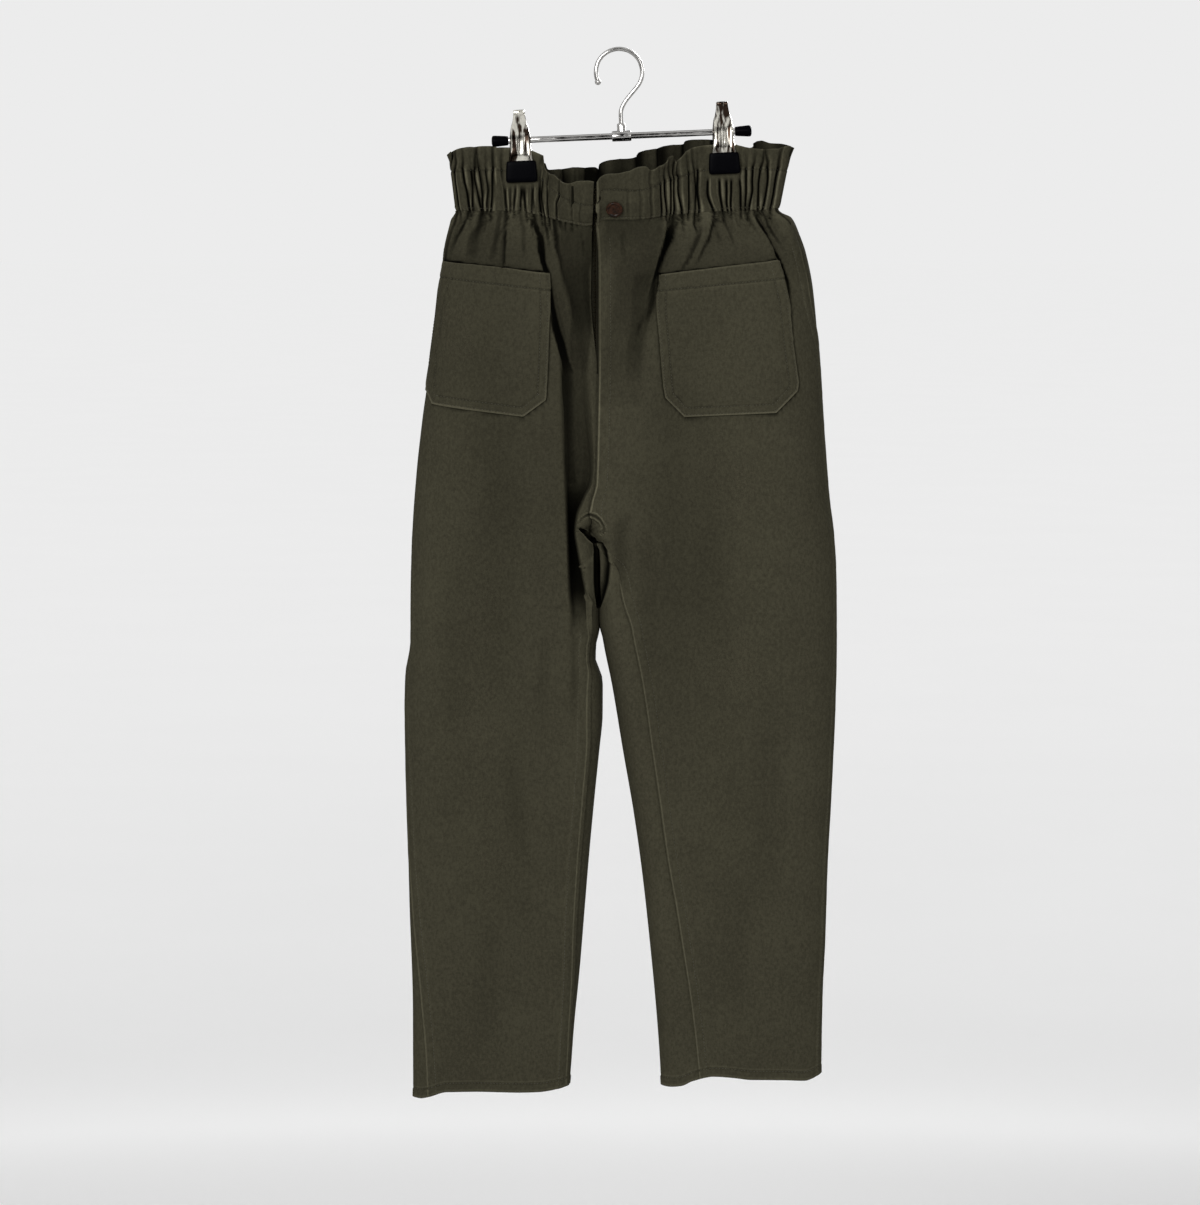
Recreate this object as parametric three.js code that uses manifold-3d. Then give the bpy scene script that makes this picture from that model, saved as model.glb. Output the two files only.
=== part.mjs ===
// Paperbag-waist trousers hanging from a clip hanger: a cotton twill pair with a frilled elastic waist,
// a buttoned fly, two patch pockets and tapered legs, held by two sprung clips on a bar with a hook.
// Units are millimetres, +Z is up, the front faces -Y and the wearer's left is at +X.
// The origin is the inside top of the hook, where it rests on a rail.
import * as THREE from "three";
import { mergeVertices } from "three/addons/utils/BufferGeometryUtils.js";
import Module from "manifold-3d";

const wasm = await Module();
wasm.setup();

// ---------------------------------------------------------------------------------------------
// Driving dimensions
// ---------------------------------------------------------------------------------------------

const CLOTH = 1.5; // thickness of a cloth wall
const SEAM_GAP = 0.45; // clear gap between two pieces that meet
const WEARER_LEFT = 1; // side signs: +X and -X
const WEARER_RIGHT = -1;

const CENTRE_SEAM_X = -20; // the centre-front and centre-back seams hang a little off the hook's line
const CROTCH_Z = -443; // lowest point of the seam that runs between the legs
const CROTCH_RISE = 44; // height over which that seam curves from front to back
const ROLL_OUTER = 64; // width over which each side rolls from front to back
const ROLL_INNER = 46; // the same at the inner thigh

// Outline and depth of the hanging cloth at each height, down from the waistband's lower edge.
// right and left are the side edges, inner_right and inner_left the edges beside the leg gap,
// front and back how far the cloth stands out from the plane of the bar.
const SECTIONS = [
  { z: -150, right: -152, inner_right: -20, inner_left: -20, left: 150, front: 30, back: 20 },
  { z: -163, right: -158, inner_right: -20, inner_left: -20, left: 161, front: 32, back: 25 },
  { z: -180, right: -162, inner_right: -20, inner_left: -20, left: 173, front: 35, back: 29 },
  { z: -205, right: -166, inner_right: -20, inner_left: -20, left: 180, front: 38, back: 33 },
  { z: -243, right: -172, inner_right: -20, inner_left: -20, left: 187, front: 40, back: 37 },
  { z: -300, right: -181, inner_right: -20, inner_left: -20, left: 193, front: 42, back: 41 },
  { z: -348, right: -186, inner_right: -20, inner_left: -20, left: 196, front: 42, back: 42 },
  { z: -405, right: -191, inner_right: -20, inner_left: -20, left: 199, front: 41, back: 41 },
  { z: -443, right: -194, inner_right: -22, inner_left: -18, left: 201, front: 38, back: 38 },
  { z: -465, right: -195, inner_right: -21, inner_left: -15, left: 202, front: 36, back: 37 },
  { z: -505, right: -196, inner_right: -21, inner_left: -16, left: 203, front: 34, back: 35 },
  { z: -538, right: -197, inner_right: -19, inner_left: -16.5, left: 204, front: 32, back: 33 },
  { z: -575, right: -199, inner_right: -20, inner_left: -11, left: 205, front: 30, back: 31 },
  { z: -604, right: -201, inner_right: -14, inner_left: -5, left: 206, front: 28, back: 29 },
  { z: -652, right: -201, inner_right: -17, inner_left: 4, left: 205, front: 26, back: 27 },
  { z: -703, right: -200, inner_right: -24, inner_left: 14, left: 203, front: 24, back: 25 },
  { z: -772, right: -199, inner_right: -30, inner_left: 25, left: 200, front: 21, back: 22 },
  { z: -850, right: -197, inner_right: -38, inner_left: 33, left: 197, front: 19, back: 19 },
  { z: -920, right: -196, inner_right: -43, inner_left: 40, left: 195, front: 17, back: 17 },
  { z: -990, right: -195, inner_right: -46, inner_left: 43, left: 193, front: 15, back: 15 },
];

// How far each long seam lies in from its edge, across the front face (negative: round on the back).
const SEAMS = [
  { z: -150, inseam_right: 0, inseam_left: 0, side_right: 0, side_left: 0 },
  { z: -185, inseam_right: 0, inseam_left: 0, side_right: -2, side_left: 4 },
  { z: -230, inseam_right: 0, inseam_left: 0, side_right: -3, side_left: 3 },
  { z: -270, inseam_right: 0, inseam_left: 0, side_right: -3, side_left: 0 },
  { z: -443, inseam_right: 0, inseam_left: 0, side_right: -2, side_left: 0 },
  { z: -465, inseam_right: 7, inseam_left: 4, side_right: -1, side_left: 0 },
  { z: -505, inseam_right: 9, inseam_left: 18, side_right: 0, side_left: 0 },
  { z: -541, inseam_right: 11, inseam_left: 28, side_right: 0, side_left: 0 },
  { z: -610, inseam_right: 15, inseam_left: 29, side_right: 0, side_left: 0 },
  { z: -690, inseam_right: 13, inseam_left: 27, side_right: 0, side_left: 0 },
  { z: -770, inseam_right: 10, inseam_left: 26, side_right: 1, side_left: 0 },
  { z: -845, inseam_right: 9, inseam_left: 30, side_right: 4, side_left: 0 },
  { z: -893, inseam_right: 7, inseam_left: 33, side_right: 8, side_left: 0 },
  { z: -945, inseam_right: 5, inseam_left: 35, side_right: 12, side_left: 0 },
  { z: -990, inseam_right: 4, inseam_left: 36, side_right: 14, side_left: 0 },
];

// Heights of the leg panels' rows, close together where the front and back join at the crotch.
const LEG_ROWS = [
  -163, -180, -205, -235, -270, -310, -350, -380, -399, -412, -423, -431, -437, -441, -445,
  -453, -466, -486, -510, -540, -575, -604, -645, -700, -770, -850, -920,
];
const HEM_Z = -990;
const LEG_COLUMNS_FRONT = 16;
const LEG_COLUMNS_BACK = 11;
const BLEND_TOP = 70; // height over which the waistband's outline passes into the hips

// The hem's height above or below HEM_Z, across each leg from its inner to its outer edge.
const HEM_LINE = [
  { across: 0, right: 10, left: 8 },
  { across: 0.25, right: 1, left: 13 },
  { across: 0.5, right: 0, left: 14 },
  { across: 0.8, right: -1, left: 14 },
  { across: 1, right: -5, left: 18 },
];

// Largest folds: each runs down through its points; depth is how far the cloth goes in, reach is half its
// width.
const FOLDS = [
  { name: "trough beside the fly", face: "front", side: WEARER_RIGHT, depth: 17, reach: 15,
    path: [[-72, -170], [-66, -230], [-56, -300], [-46, -380], [-42, -440], [-39, -500], [-34, -570]] },
  { name: "dip under the button", face: "front", side: WEARER_LEFT, depth: 10, reach: 17,
    path: [[44, -150], [36, -200], [26, -250], [17, -300]] },
  { name: "fold at the left pocket", face: "front", side: WEARER_LEFT, depth: 9, reach: 14,
    path: [[124, -150], [143, -185], [160, -215], [166, -260]] },
  { name: "seat fold, right", face: "back", side: WEARER_RIGHT, depth: 10, reach: 20,
    path: [[-96, -150], [-80, -260], [-60, -380], [-52, -500], [-60, -600]] },
  { name: "seat fold, left", face: "back", side: WEARER_LEFT, depth: 10, reach: 20,
    path: [[90, -150], [66, -260], [36, -380], [28, -500], [44, -600]] },
];
const CENTRE_DIP = 13; // the cloth falls back between the thighs, at the front and less at the back
const CENTRE_DIP_REACH = 38;

// Waistband: its lower edge, its top stitch row and the frill's edge, across the front and the back.
// x and the frill's own x_top, then height z and depth y (negative towards the front) of each line.
const BAND_FRONT = [
  { x: -152, x_top: -161, z_low: -150, z_stitch: -113, z_top: -97, y_low: 0, y_stitch: 0, y_top: 0 },
  { x: -149, x_top: -157, z_low: -150, z_stitch: -113, z_top: -95, y_low: -6, y_stitch: -5, y_top: -5 },
  { x: -130, x_top: -134, z_low: -150, z_stitch: -112, z_top: -90, y_low: -11, y_stitch: -7, y_top: -8 },
  { x: -110, x_top: -110, z_low: -150, z_stitch: -112, z_top: -89, y_low: -8, y_stitch: -2.2, y_top: -2.4 },
  { x: -92, x_top: -92, z_low: -150, z_stitch: -113, z_top: -89, y_low: -8, y_stitch: -2.2, y_top: -2.2 },
  { x: -74, x_top: -74, z_low: -153, z_stitch: -120, z_top: -102, y_low: -11, y_stitch: -2.6, y_top: -3 },
  { x: -50, x_top: -50, z_low: -159, z_stitch: -139, z_top: -123, y_low: -19, y_stitch: -29, y_top: -33 },
  { x: -20, x_top: -20, z_low: -164, z_stitch: -143, z_top: -122, y_low: -24, y_stitch: -44, y_top: -50 },
  { x: 20, x_top: 20, z_low: -159, z_stitch: -132, z_top: -111, y_low: -25, y_stitch: -42, y_top: -48 },
  { x: 45, x_top: 45, z_low: -155, z_stitch: -123, z_top: -105, y_low: -20, y_stitch: -29, y_top: -33 },
  { x: 81, x_top: 81, z_low: -151, z_stitch: -112, z_top: -90, y_low: -10, y_stitch: -2.6, y_top: -3 },
  { x: 99, x_top: 99, z_low: -150, z_stitch: -111, z_top: -88, y_low: -8, y_stitch: -2.2, y_top: -2.2 },
  { x: 117, x_top: 118, z_low: -149, z_stitch: -111, z_top: -89, y_low: -8, y_stitch: -2.2, y_top: -2.4 },
  { x: 134, x_top: 141, z_low: -149, z_stitch: -111, z_top: -91, y_low: -11, y_stitch: -7, y_top: -8 },
  { x: 149, x_top: 162.2, z_low: -148, z_stitch: -112, z_top: -92, y_low: -6, y_stitch: -6, y_top: -6 },
  { x: 151, x_top: 165, z_low: -148, z_stitch: -112, z_top: -92, y_low: 0, y_stitch: 0, y_top: 0 },
];
const BAND_BACK = [
  { x: -149, x_top: -157, z_low: -150, z_stitch: -113, z_top: -95, y_low: 6, y_stitch: 5, y_top: 5 },
  { x: -130, x_top: -134, z_low: -150, z_stitch: -113, z_top: -91, y_low: 10, y_stitch: 7, y_top: 8 },
  { x: -110, x_top: -110, z_low: -150, z_stitch: -113, z_top: -90, y_low: 8, y_stitch: 2.2, y_top: 2.4 },
  { x: -92, x_top: -92, z_low: -151, z_stitch: -114, z_top: -90, y_low: 8, y_stitch: 2.2, y_top: 2.2 },
  { x: -74, x_top: -74, z_low: -153, z_stitch: -121, z_top: -100, y_low: 9, y_stitch: 2.6, y_top: 3 },
  { x: -50, x_top: -50, z_low: -155, z_stitch: -128, z_top: -111, y_low: 14, y_stitch: 11, y_top: 13 },
  { x: -20, x_top: -20, z_low: -156, z_stitch: -127, z_top: -107, y_low: 20, y_stitch: 16, y_top: 19 },
  { x: 20, x_top: 20, z_low: -154, z_stitch: -119, z_top: -97, y_low: 20, y_stitch: 16, y_top: 19 },
  { x: 54, x_top: 54, z_low: -152, z_stitch: -113, z_top: -89, y_low: 14, y_stitch: 11, y_top: 13 },
  { x: 81, x_top: 81, z_low: -151, z_stitch: -110, z_top: -86, y_low: 9, y_stitch: 2.6, y_top: 3 },
  { x: 99, x_top: 99, z_low: -150, z_stitch: -110, z_top: -85, y_low: 8, y_stitch: 2.2, y_top: 2.2 },
  { x: 117, x_top: 118, z_low: -149, z_stitch: -110, z_top: -86, y_low: 8, y_stitch: 2.2, y_top: 2.4 },
  { x: 134, x_top: 141, z_low: -149, z_stitch: -111, z_top: -88, y_low: 10, y_stitch: 7, y_top: 8 },
  { x: 149, x_top: 162.2, z_low: -148, z_stitch: -112, z_top: -90, y_low: 6, y_stitch: 6, y_top: 6 },
];
const CASING_ROWS = [0, 0.3, 0.62, 1]; // rows of the casing, from its lower edge to the stitch row
const PINCH_FROM = 0.6; // above this share of the casing, the clips hold front and back together
const FRILL_ROWS = [0.5, 1]; // rows of the frill above it
const GATHER_PITCH = 21; // spacing of the largest gathers along the band
const GATHER_DEPTH = 2.6;
const FRILL_GATHER = 1.4; // the gathers are this much deeper in the frill
const FLAT_FRONT = { from: -70, to: 42, fade: 6 }; // no elastic beside the fly
const CLIP_PINCH = { from: 16, to: 26 }; // the gathers fade in between these distances from a clip
const BAND_COLUMNS = { left: 36, right: 28, back: 46 };
const RING_POINTS = 600; // points round the waistband's ring before it is divided into columns
const FACE_POINTS = 72; // points across one face of a leg's section, likewise

// Patch pocket as cut; it is laid on the front panel at these distances along the cloth.
const POCKET = {
  from_centre: 58, // from the centre seam to the pocket's inner top corner
  lean: 8, // how much further out the inner edge is at the bottom
  top_width: 116,
  bottom_width: 127,
  height: 134,
  chamfer: 21,
  top_z: -204,
  top_slope: 11, // the mouth rises by this towards the side
  bottom_slope: 5.5,
  rows: [0, 0.13, 0.26, 0.4, 0.55, 0.7, 0.85, 1], // from the mouth to the bottom
  columns: 12,
};

const FACET_ALLOWANCE = 1.2; // extra clearance over the flat facets of a curved panel

// The fly shield behind the zip: its rows in the band, its rows below it, and its distances from the
// centre front, negative towards the wearer's left.
const SHIELD = {
  band_levels: [1.2, 0.8, 0.4],
  z: [-150, -163, -180, -205, -235, -270, -300],
  reach: [-6, -2, 2, 8, 15, 24],
  clearance: 1.5 * FACET_ALLOWANCE,
};
const BUTTON = {
  radius: 7.8,
  thickness: 3,
  foot: 1, // how much narrower its underside is
  rim: 1.2,
  bevel: 0.6,
  well: 1, // depth of its middle below the rim
  from_centre: 17,
  level: 0.72,
};

// Hanger
const SIDES = 16; // facets round the bar and what fits on it
const FINE_SIDES = 20;
const HANGER_TILT = THREE.MathUtils.degToRad(2.35); // the left end hangs a little higher
const BAR_DROP = 80; // from the hook's inside top to the bar's centre line
const BAR_LENGTH = 240;
const BAR_RADIUS = 2.5;
const CAP = { length: 15, radius_inner: 3.9, radius_outer: 4.9, end_wall: 2.6, taper: 2, bevel: 0.8 };
// The hook's stem starts this deep in the hub's neck and leans out, x by height, into a sweep of degrees.
const HOOK = {
  inside: 20,
  wire: 2,
  seat: 5.6,
  stem: [{ x: 0, up: 0 }, { x: 0, up: 8 }, { x: 0, up: 16 }, { x: 4, up: 25 }],
  sweep: { from: -48, to: 205, step: 23 },
  lengths: 48, // straight lengths that the bent wire is divided into
  tip_radius: 3,
};
const HUB = { length: 18, radius: 5, neck_radius: 4, neck_height: 12, stem_hole: 6 };
const CLIP_SPAN = 191.4; // between the two clips' centre lines
const JAW_SHEET = 1;
// Jaw outline, from its handle to its tip: height above the bar, width, distance out from the bar's
// plane, and how much the middle of the sheet is crowned.
const JAW = [
  { z: 28, width: 11, out: 13, crown: 0.8 },
  { z: 19, width: 13, out: 11, crown: 1.2 },
  { z: 13, width: 17, out: 8.6, crown: 1.5 },
  { z: 5, width: 20, out: 5.8, crown: 1.5 },
  { z: -6, width: 21.5, out: 5.8, crown: 1.5 },
  { z: -14, width: 22.5, out: 6.6, crown: 0.8 },
  { z: -20, width: 23, out: 6.2, crown: 0 },
  { z: -37, width: 24, out: 5.9, crown: 0 },
];
const JAW_COLUMNS = 6;
const EAR = {
  sheet: 1,
  reach: 3.6, // how far it runs past the bar's centre line
  root: 5.8, // and how far towards its sheet
  front_x: 9.2,
  back_x: 7.8,
  low: -3.8,
  high: 5,
  hole_reach: 20, // the bar's hole is cut this far to each side, through both ears
};
const SPRING = { length: 12, radius: 4 };
const PAD = {
  top: -20,
  bottom: -39.5,
  width: 28.5,
  shoulder: 1, // how much narrower it is at the top, each side
  thickness: 4.6,
  inner: 3.6,
  corner: 3,
  slot_room: 0.4, // extra width of the slot that takes the jaw's tip
};

// ---------------------------------------------------------------------------------------------
// Small tools
// ---------------------------------------------------------------------------------------------

const V = (x, y, z) => new THREE.Vector3(x, y, z);
const { clamp, lerp, smoothstep } = THREE.MathUtils;
const sideName = (side) => (side === WEARER_LEFT ? "left" : "right");

// The value of one column of a table at a place along another, on a smooth line that never overshoots.
function read(table, along, column, at) {
  const rising = table[table.length - 1][along] > table[0][along] ? 1 : -1;
  const last = table.length - 2;
  let i = 0;
  while (i < last && rising * at > rising * table[i + 1][along]) i += 1;
  const slope = (k) => {
    if (k < 0 || k > last) return 0;
    return (table[k + 1][column] - table[k][column]) / (table[k + 1][along] - table[k][along]);
  };
  const tangent = (k) => {
    const before = slope(k - 1);
    const after = slope(k);
    return before * after > 0 ? (2 * before * after) / (before + after) : 0;
  };
  const width = table[i + 1][along] - table[i][along];
  const t = clamp((at - table[i][along]) / width, 0, 1);
  const endTangent = (k) => (k === 0 ? slope(0) : k === last + 1 ? slope(last) : tangent(k));
  const a = table[i][column];
  const b = table[i + 1][column];
  const h = 3 * t * t - 2 * t * t * t;
  const ha = t * (1 - t) * (1 - t);
  const hb = t * t * (t - 1);
  return a + (b - a) * h + width * (endTangent(i) * ha + endTangent(i + 1) * hb);
}

// A line of points with its running length, and the point at a distance along it.
function measured(points, closed) {
  const line = closed ? [...points, points[0]] : points;
  const run = [0];
  for (let i = 1; i < line.length; i += 1) run.push(run[i - 1] + line[i].distanceTo(line[i - 1]));
  return { line, run, total: run[run.length - 1], closed };
}
function pointAt(ring, distance) {
  const d = ring.closed ? ((distance % ring.total) + ring.total) % ring.total : distance;
  let low = 0;
  let high = ring.run.length - 1;
  while (high - low > 1) {
    const middle = (low + high) >> 1;
    if (ring.run[middle] <= d) low = middle;
    else high = middle;
  }
  const share = (d - ring.run[low]) / (ring.run[high] - ring.run[low]);
  return ring.line[low].clone().lerp(ring.line[high], share);
}

// One closed solid from a geometry: shared vertices merged and faces turned outwards.
function solid(geometry) {
  const bare = new THREE.BufferGeometry();
  bare.setAttribute("position", geometry.getAttribute("position").clone());
  if (geometry.index) bare.setIndex(geometry.index.clone());
  const merged = mergeVertices(bare, 1e-3);
  const p = merged.attributes.position;
  const index = merged.index.array;
  const [a, b, c] = [V(), V(), V()];
  let volume = 0;
  for (let i = 0; i < index.length; i += 3) {
    a.fromBufferAttribute(p, index[i]);
    b.fromBufferAttribute(p, index[i + 1]);
    c.fromBufferAttribute(p, index[i + 2]);
    volume += a.dot(b.cross(c));
  }
  if (volume < 0) {
    for (let i = 0; i < index.length; i += 3) {
      [index[i + 1], index[i + 2]] = [index[i + 2], index[i + 1]];
    }
  }
  return merged;
}
function toManifold(geometry) {
  const g = solid(geometry);
  const vertProperties = new Float32Array(g.attributes.position.array);
  const triVerts = new Uint32Array(g.index.array);
  return new wasm.Manifold(new wasm.Mesh({ numProp: 3, vertProperties, triVerts }));
}
function fromManifold(body) {
  const mesh = body.getMesh();
  const geometry = new THREE.BufferGeometry();
  geometry.setAttribute("position", new THREE.BufferAttribute(mesh.vertProperties, 3));
  geometry.setIndex(new THREE.BufferAttribute(mesh.triVerts, 1));
  return geometry;
}

// The outward normal of a surface at (u, v), where u runs across and v runs up it.
function normalOf(surface, u, v, du, dv) {
  const across = surface(u + du, v).sub(surface(u - du, v));
  const up = surface(u, v + dv).sub(surface(u, v - dv));
  return across.cross(up).normalize();
}

// The same for each point of a plain grid of points (rows of columns).
function withNormals(grid) {
  return grid.map((row, r) => {
    const above = grid[Math.max(r - 1, 0)];
    const below = grid[Math.min(r + 1, grid.length - 1)];
    return row.map((point, c) => {
      const across = row[Math.min(c + 1, row.length - 1)].clone().sub(row[Math.max(c - 1, 0)]);
      const down = below[c].clone().sub(above[c]);
      return { point, normal: across.cross(down).negate().normalize() };
    });
  });
}

// A wall of even thickness about a grid of points and normals (rows of columns), closed round its edges.
function wall(grid, thickness) {
  const rows = grid.length;
  const columns = grid[0].length;
  const positions = [];
  for (const sign of [0.5, -0.5]) {
    for (const { point, normal } of grid.flat()) {
      positions.push(...point.clone().addScaledVector(normal, sign * thickness).toArray());
    }
  }
  const index = [];
  const quad = (a, b, c, d) => index.push(a, b, c, a, c, d);
  const near = (r, c) => r * columns + c;
  const far = (r, c) => rows * columns + r * columns + c;
  for (let r = 0; r < rows - 1; r += 1) {
    for (let c = 0; c < columns - 1; c += 1) {
      quad(near(r, c), near(r, c + 1), near(r + 1, c + 1), near(r + 1, c));
      quad(far(r, c), far(r + 1, c), far(r + 1, c + 1), far(r, c + 1));
    }
    quad(near(r, 0), near(r + 1, 0), far(r + 1, 0), far(r, 0));
    quad(near(r + 1, columns - 1), near(r, columns - 1), far(r, columns - 1), far(r + 1, columns - 1));
  }
  for (let c = 0; c < columns - 1; c += 1) {
    quad(near(0, c + 1), near(0, c), far(0, c), far(0, c + 1));
    quad(near(rows - 1, c), near(rows - 1, c + 1), far(rows - 1, c + 1), far(rows - 1, c));
  }
  const geometry = new THREE.BufferGeometry();
  geometry.setAttribute("position", new THREE.Float32BufferAttribute(positions, 3));
  geometry.setIndex(index);
  return solid(geometry);
}

// ---------------------------------------------------------------------------------------------
// Materials
// ---------------------------------------------------------------------------------------------

const material = (color, roughness, metalness) => {
  return new THREE.MeshStandardMaterial({ color, roughness, metalness });
};
const TWILL = material(0x3a372d, 0.95, 0);
const HORN = material(0x2e1a14, 0.4, 0);
const CHROME = material(0xd8d8d8, 0.15, 1);
const VINYL = material(0x08090a, 0.35, 0);

const trousers = new THREE.Group();
function add(name, geometry, finish, parent = trousers) {
  const mesh = new THREE.Mesh(geometry, finish);
  mesh.name = name;
  parent.add(mesh);
  return mesh;
}

// ---------------------------------------------------------------------------------------------
// Waistband surface: a ring at each height, gathered everywhere but beside the fly and at the clips
// ---------------------------------------------------------------------------------------------

const CLIP_X = [-1, 1].map((end) => {
  return BAR_DROP * Math.sin(HANGER_TILT) + (end * CLIP_SPAN * Math.cos(HANGER_TILT)) / 2;
});

// How much of the full gather there is at x: none at a clip, and none in the flat front.
function gatherShare(x, face) {
  const clip = Math.min(...CLIP_X.map((at) => Math.abs(x - at)));
  const clear = smoothstep(clip, CLIP_PINCH.from, CLIP_PINCH.to);
  if (face === "back") return clear;
  const { from, to, fade } = FLAT_FRONT;
  const flat = smoothstep(x, from - fade, from + fade);
  return clear * (1 - flat * (1 - smoothstep(x, to - fade, to + fade)));
}

// level runs from 0 at the lower edge through 1 at the stitch row to 2 at the frill's edge.
function bandRing(level) {
  const frill = clamp(level - 1, 0, 1);
  const casing = clamp(level, 0, 1);
  const pinched = clamp(casing / PINCH_FROM, 0, 1);
  const place = (row) => {
    const z = frill > 0 ? lerp(row.z_stitch, row.z_top, frill) : lerp(row.z_low, row.z_stitch, casing);
    const y = frill > 0 ? lerp(row.y_stitch, row.y_top, frill) : lerp(row.y_low, row.y_stitch, pinched);
    return V(lerp(row.x, row.x_top, level / 2), y, z);
  };
  const front = BAND_FRONT.map(place);
  const back = BAND_BACK.map(place).reverse();
  const curve = new THREE.CatmullRomCurve3([...front, ...back], true, "centripetal");
  return measured(curve.getPoints(RING_POINTS).slice(0, -1), true);
}
const ringCache = new Map();
function bandHalf(side, level) {
  const key = side + ":" + level;
  if (ringCache.has(key)) return ringCache.get(key);
  const ring = bandRing(level);
  const count = ring.line.length - 1;
  const nearest = (test) => {
    let best = 0;
    for (let i = 1; i < count; i += 1) {
      if (test(ring.line[i]) < test(ring.line[best])) best = i;
    }
    return ring.run[best];
  };
  const centre = (isFace) => (p) => (isFace(p) ? Math.abs(p.x - CENTRE_SEAM_X) : Infinity);
  const atFront = nearest(centre((p) => p.y < 0));
  const atBack = nearest(centre((p) => p.y > 0));
  const atSide = nearest((p) => -side * p.x);
  const wrap = (d) => ((d % ring.total) + ring.total) % ring.total;
  const along = (from, to) => (side > 0 ? wrap(to - from) : wrap(from - to));
  const half = { ring, start: atFront, front: along(atFront, atSide), back: along(atSide, atBack) };
  ringCache.set(key, half);
  return half;
}

// A point of the band: share runs from the centre-front seam (0) to the side seam (1) to the
// centre-back seam (2).
function bandPoint(side, share, level, gathered = true) {
  const half = bandHalf(side, level);
  const distance = share <= 1 ? share * half.front : half.front + (share - 1) * half.back;
  const at = (d) => pointAt(half.ring, half.start + side * d);
  const point = at(distance);
  if (!gathered) return point;
  const ahead = at(distance + 1).sub(at(distance - 1));
  const inward = V(-ahead.y, ahead.x, 0).multiplyScalar(side).normalize();
  const fade = smoothstep(level, 0, 0.5) * gatherShare(point.x, share <= 1 ? "front" : "back");
  const wave = 0.5 - 0.5 * Math.cos((2 * Math.PI * distance) / GATHER_PITCH);
  return point.addScaledVector(inward, GATHER_DEPTH * wave * fade * (level > 1 ? FRILL_GATHER : 1));
}

// ---------------------------------------------------------------------------------------------
// Leg surface: an oval at each height, open at the centre seam above the crotch
// ---------------------------------------------------------------------------------------------

// Share of its full depth that the cloth has at the centre seam: 1 above the crotch curve, 0 below it.
function openShare(z) {
  const below = clamp((CROTCH_Z + CROTCH_RISE - z) / CROTCH_RISE, 0, 1);
  return Math.sqrt(1 - below * below);
}

// How far the named folds push the cloth in at a place on one face.
function foldDepth(face, side, x, z) {
  let depth = 0;
  for (const fold of FOLDS) {
    if (fold.face !== face || fold.side !== side) continue;
    const path = fold.path;
    let best = { gap: Infinity, share: 0 };
    for (let i = 0; i < path.length - 1; i += 1) {
      const [ax, az] = path[i];
      const [bx, bz] = path[i + 1];
      const along = (x - ax) * (bx - ax) + (z - az) * (bz - az);
      const t = clamp(along / ((bx - ax) ** 2 + (bz - az) ** 2), 0, 1);
      const gap = Math.hypot(x - lerp(ax, bx, t), z - lerp(az, bz, t));
      if (gap < best.gap) best = { gap, share: (i + t) / (path.length - 1) };
    }
    const ends = smoothstep(best.share, 0, 0.25) * (1 - smoothstep(best.share, 0.8, 1));
    depth += fold.depth * ends * Math.exp(-((best.gap / fold.reach) ** 2));
  }
  return depth;
}

function sectionRing(side, z) {
  const name = sideName(side);
  const open = openShare(z);
  const apart = 0.5 * SEAM_GAP + 0.85 * (1 - open);
  const inner = read(SECTIONS, "z", "inner_" + name, z) + side * apart;
  const outer = read(SECTIONS, "z", name, z);
  const width = Math.abs(outer - inner);
  const rollOuter = Math.min(ROLL_OUTER, 0.5 * width);
  const rollInner = Math.min(ROLL_INNER, 0.45 * width);
  const innerStart = 1 - Math.sqrt(1 - open * open);
  const quarter = (v) => Math.sqrt(1 - (1 - clamp(v, 0, 1)) ** 2);
  const points = [];
  for (const face of ["front", "back"]) {
    const out = face === "front" ? -1 : 1;
    const depth = read(SECTIONS, "z", face, z);
    for (let i = 0; i < FACE_POINTS; i += 1) {
      const q = face === "front" ? i / FACE_POINTS : 1 - i / FACE_POINTS;
      const t = 0.5 - 0.5 * Math.cos(Math.PI * q);
      const x = lerp(inner, outer, t);
      const outerShare = quarter(((1 - t) * width) / rollOuter);
      const innerShare = quarter(innerStart + (t * width) / rollInner);
      const dip = CENTRE_DIP * open * Math.exp(-(((x - CENTRE_SEAM_X) / CENTRE_DIP_REACH) ** 2));
      const pushed = (face === "front" ? dip : 0.5 * dip) + foldDepth(face, side, x, z);
      points.push(V(x, out * outerShare * innerShare * (depth - pushed), z));
    }
  }
  if (open > 0) {
    const depth = read(SECTIONS, "z", "back", z) - 0.5 * CENTRE_DIP * open;
    points.push(V(inner, open * depth, z));
  }
  return measured(points, open === 0);
}

// The section with the distances at which its seams lie.
const sectionCache = new Map();
function section(side, z) {
  const key = side + ":" + z.toFixed(3);
  if (sectionCache.has(key)) return sectionCache.get(key);
  const ring = sectionRing(side, z);
  const name = sideName(side);
  const inset = (seam) => read(SEAMS, "z", seam + "_" + name, z);
  const inner = ring.line[0].x;
  const outer = ring.line[FACE_POINTS].x;
  const distanceAt = (x) => {
    for (let i = 0; i < FACE_POINTS; i += 1) {
      const a = ring.line[i].x * side;
      const b = ring.line[i + 1].x * side;
      if (x * side >= a && x * side <= b) {
        return lerp(ring.run[i], ring.run[i + 1], b > a ? (x * side - a) / (b - a) : 0);
      }
    }
    return x * side < inner * side ? 0 : ring.run[FACE_POINTS];
  };
  const inseam = distanceAt(inner + side * inset("inseam"));
  const sideInset = inset("side");
  const sideSeam = sideInset >= 0
    ? distanceAt(outer - side * sideInset)
    : 2 * ring.run[FACE_POINTS] - distanceAt(outer + side * sideInset);
  const made = { ring, inseam, sideSeam, end: ring.total + (ring.closed ? inseam : 0) };
  sectionCache.set(key, made);
  return made;
}

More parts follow.
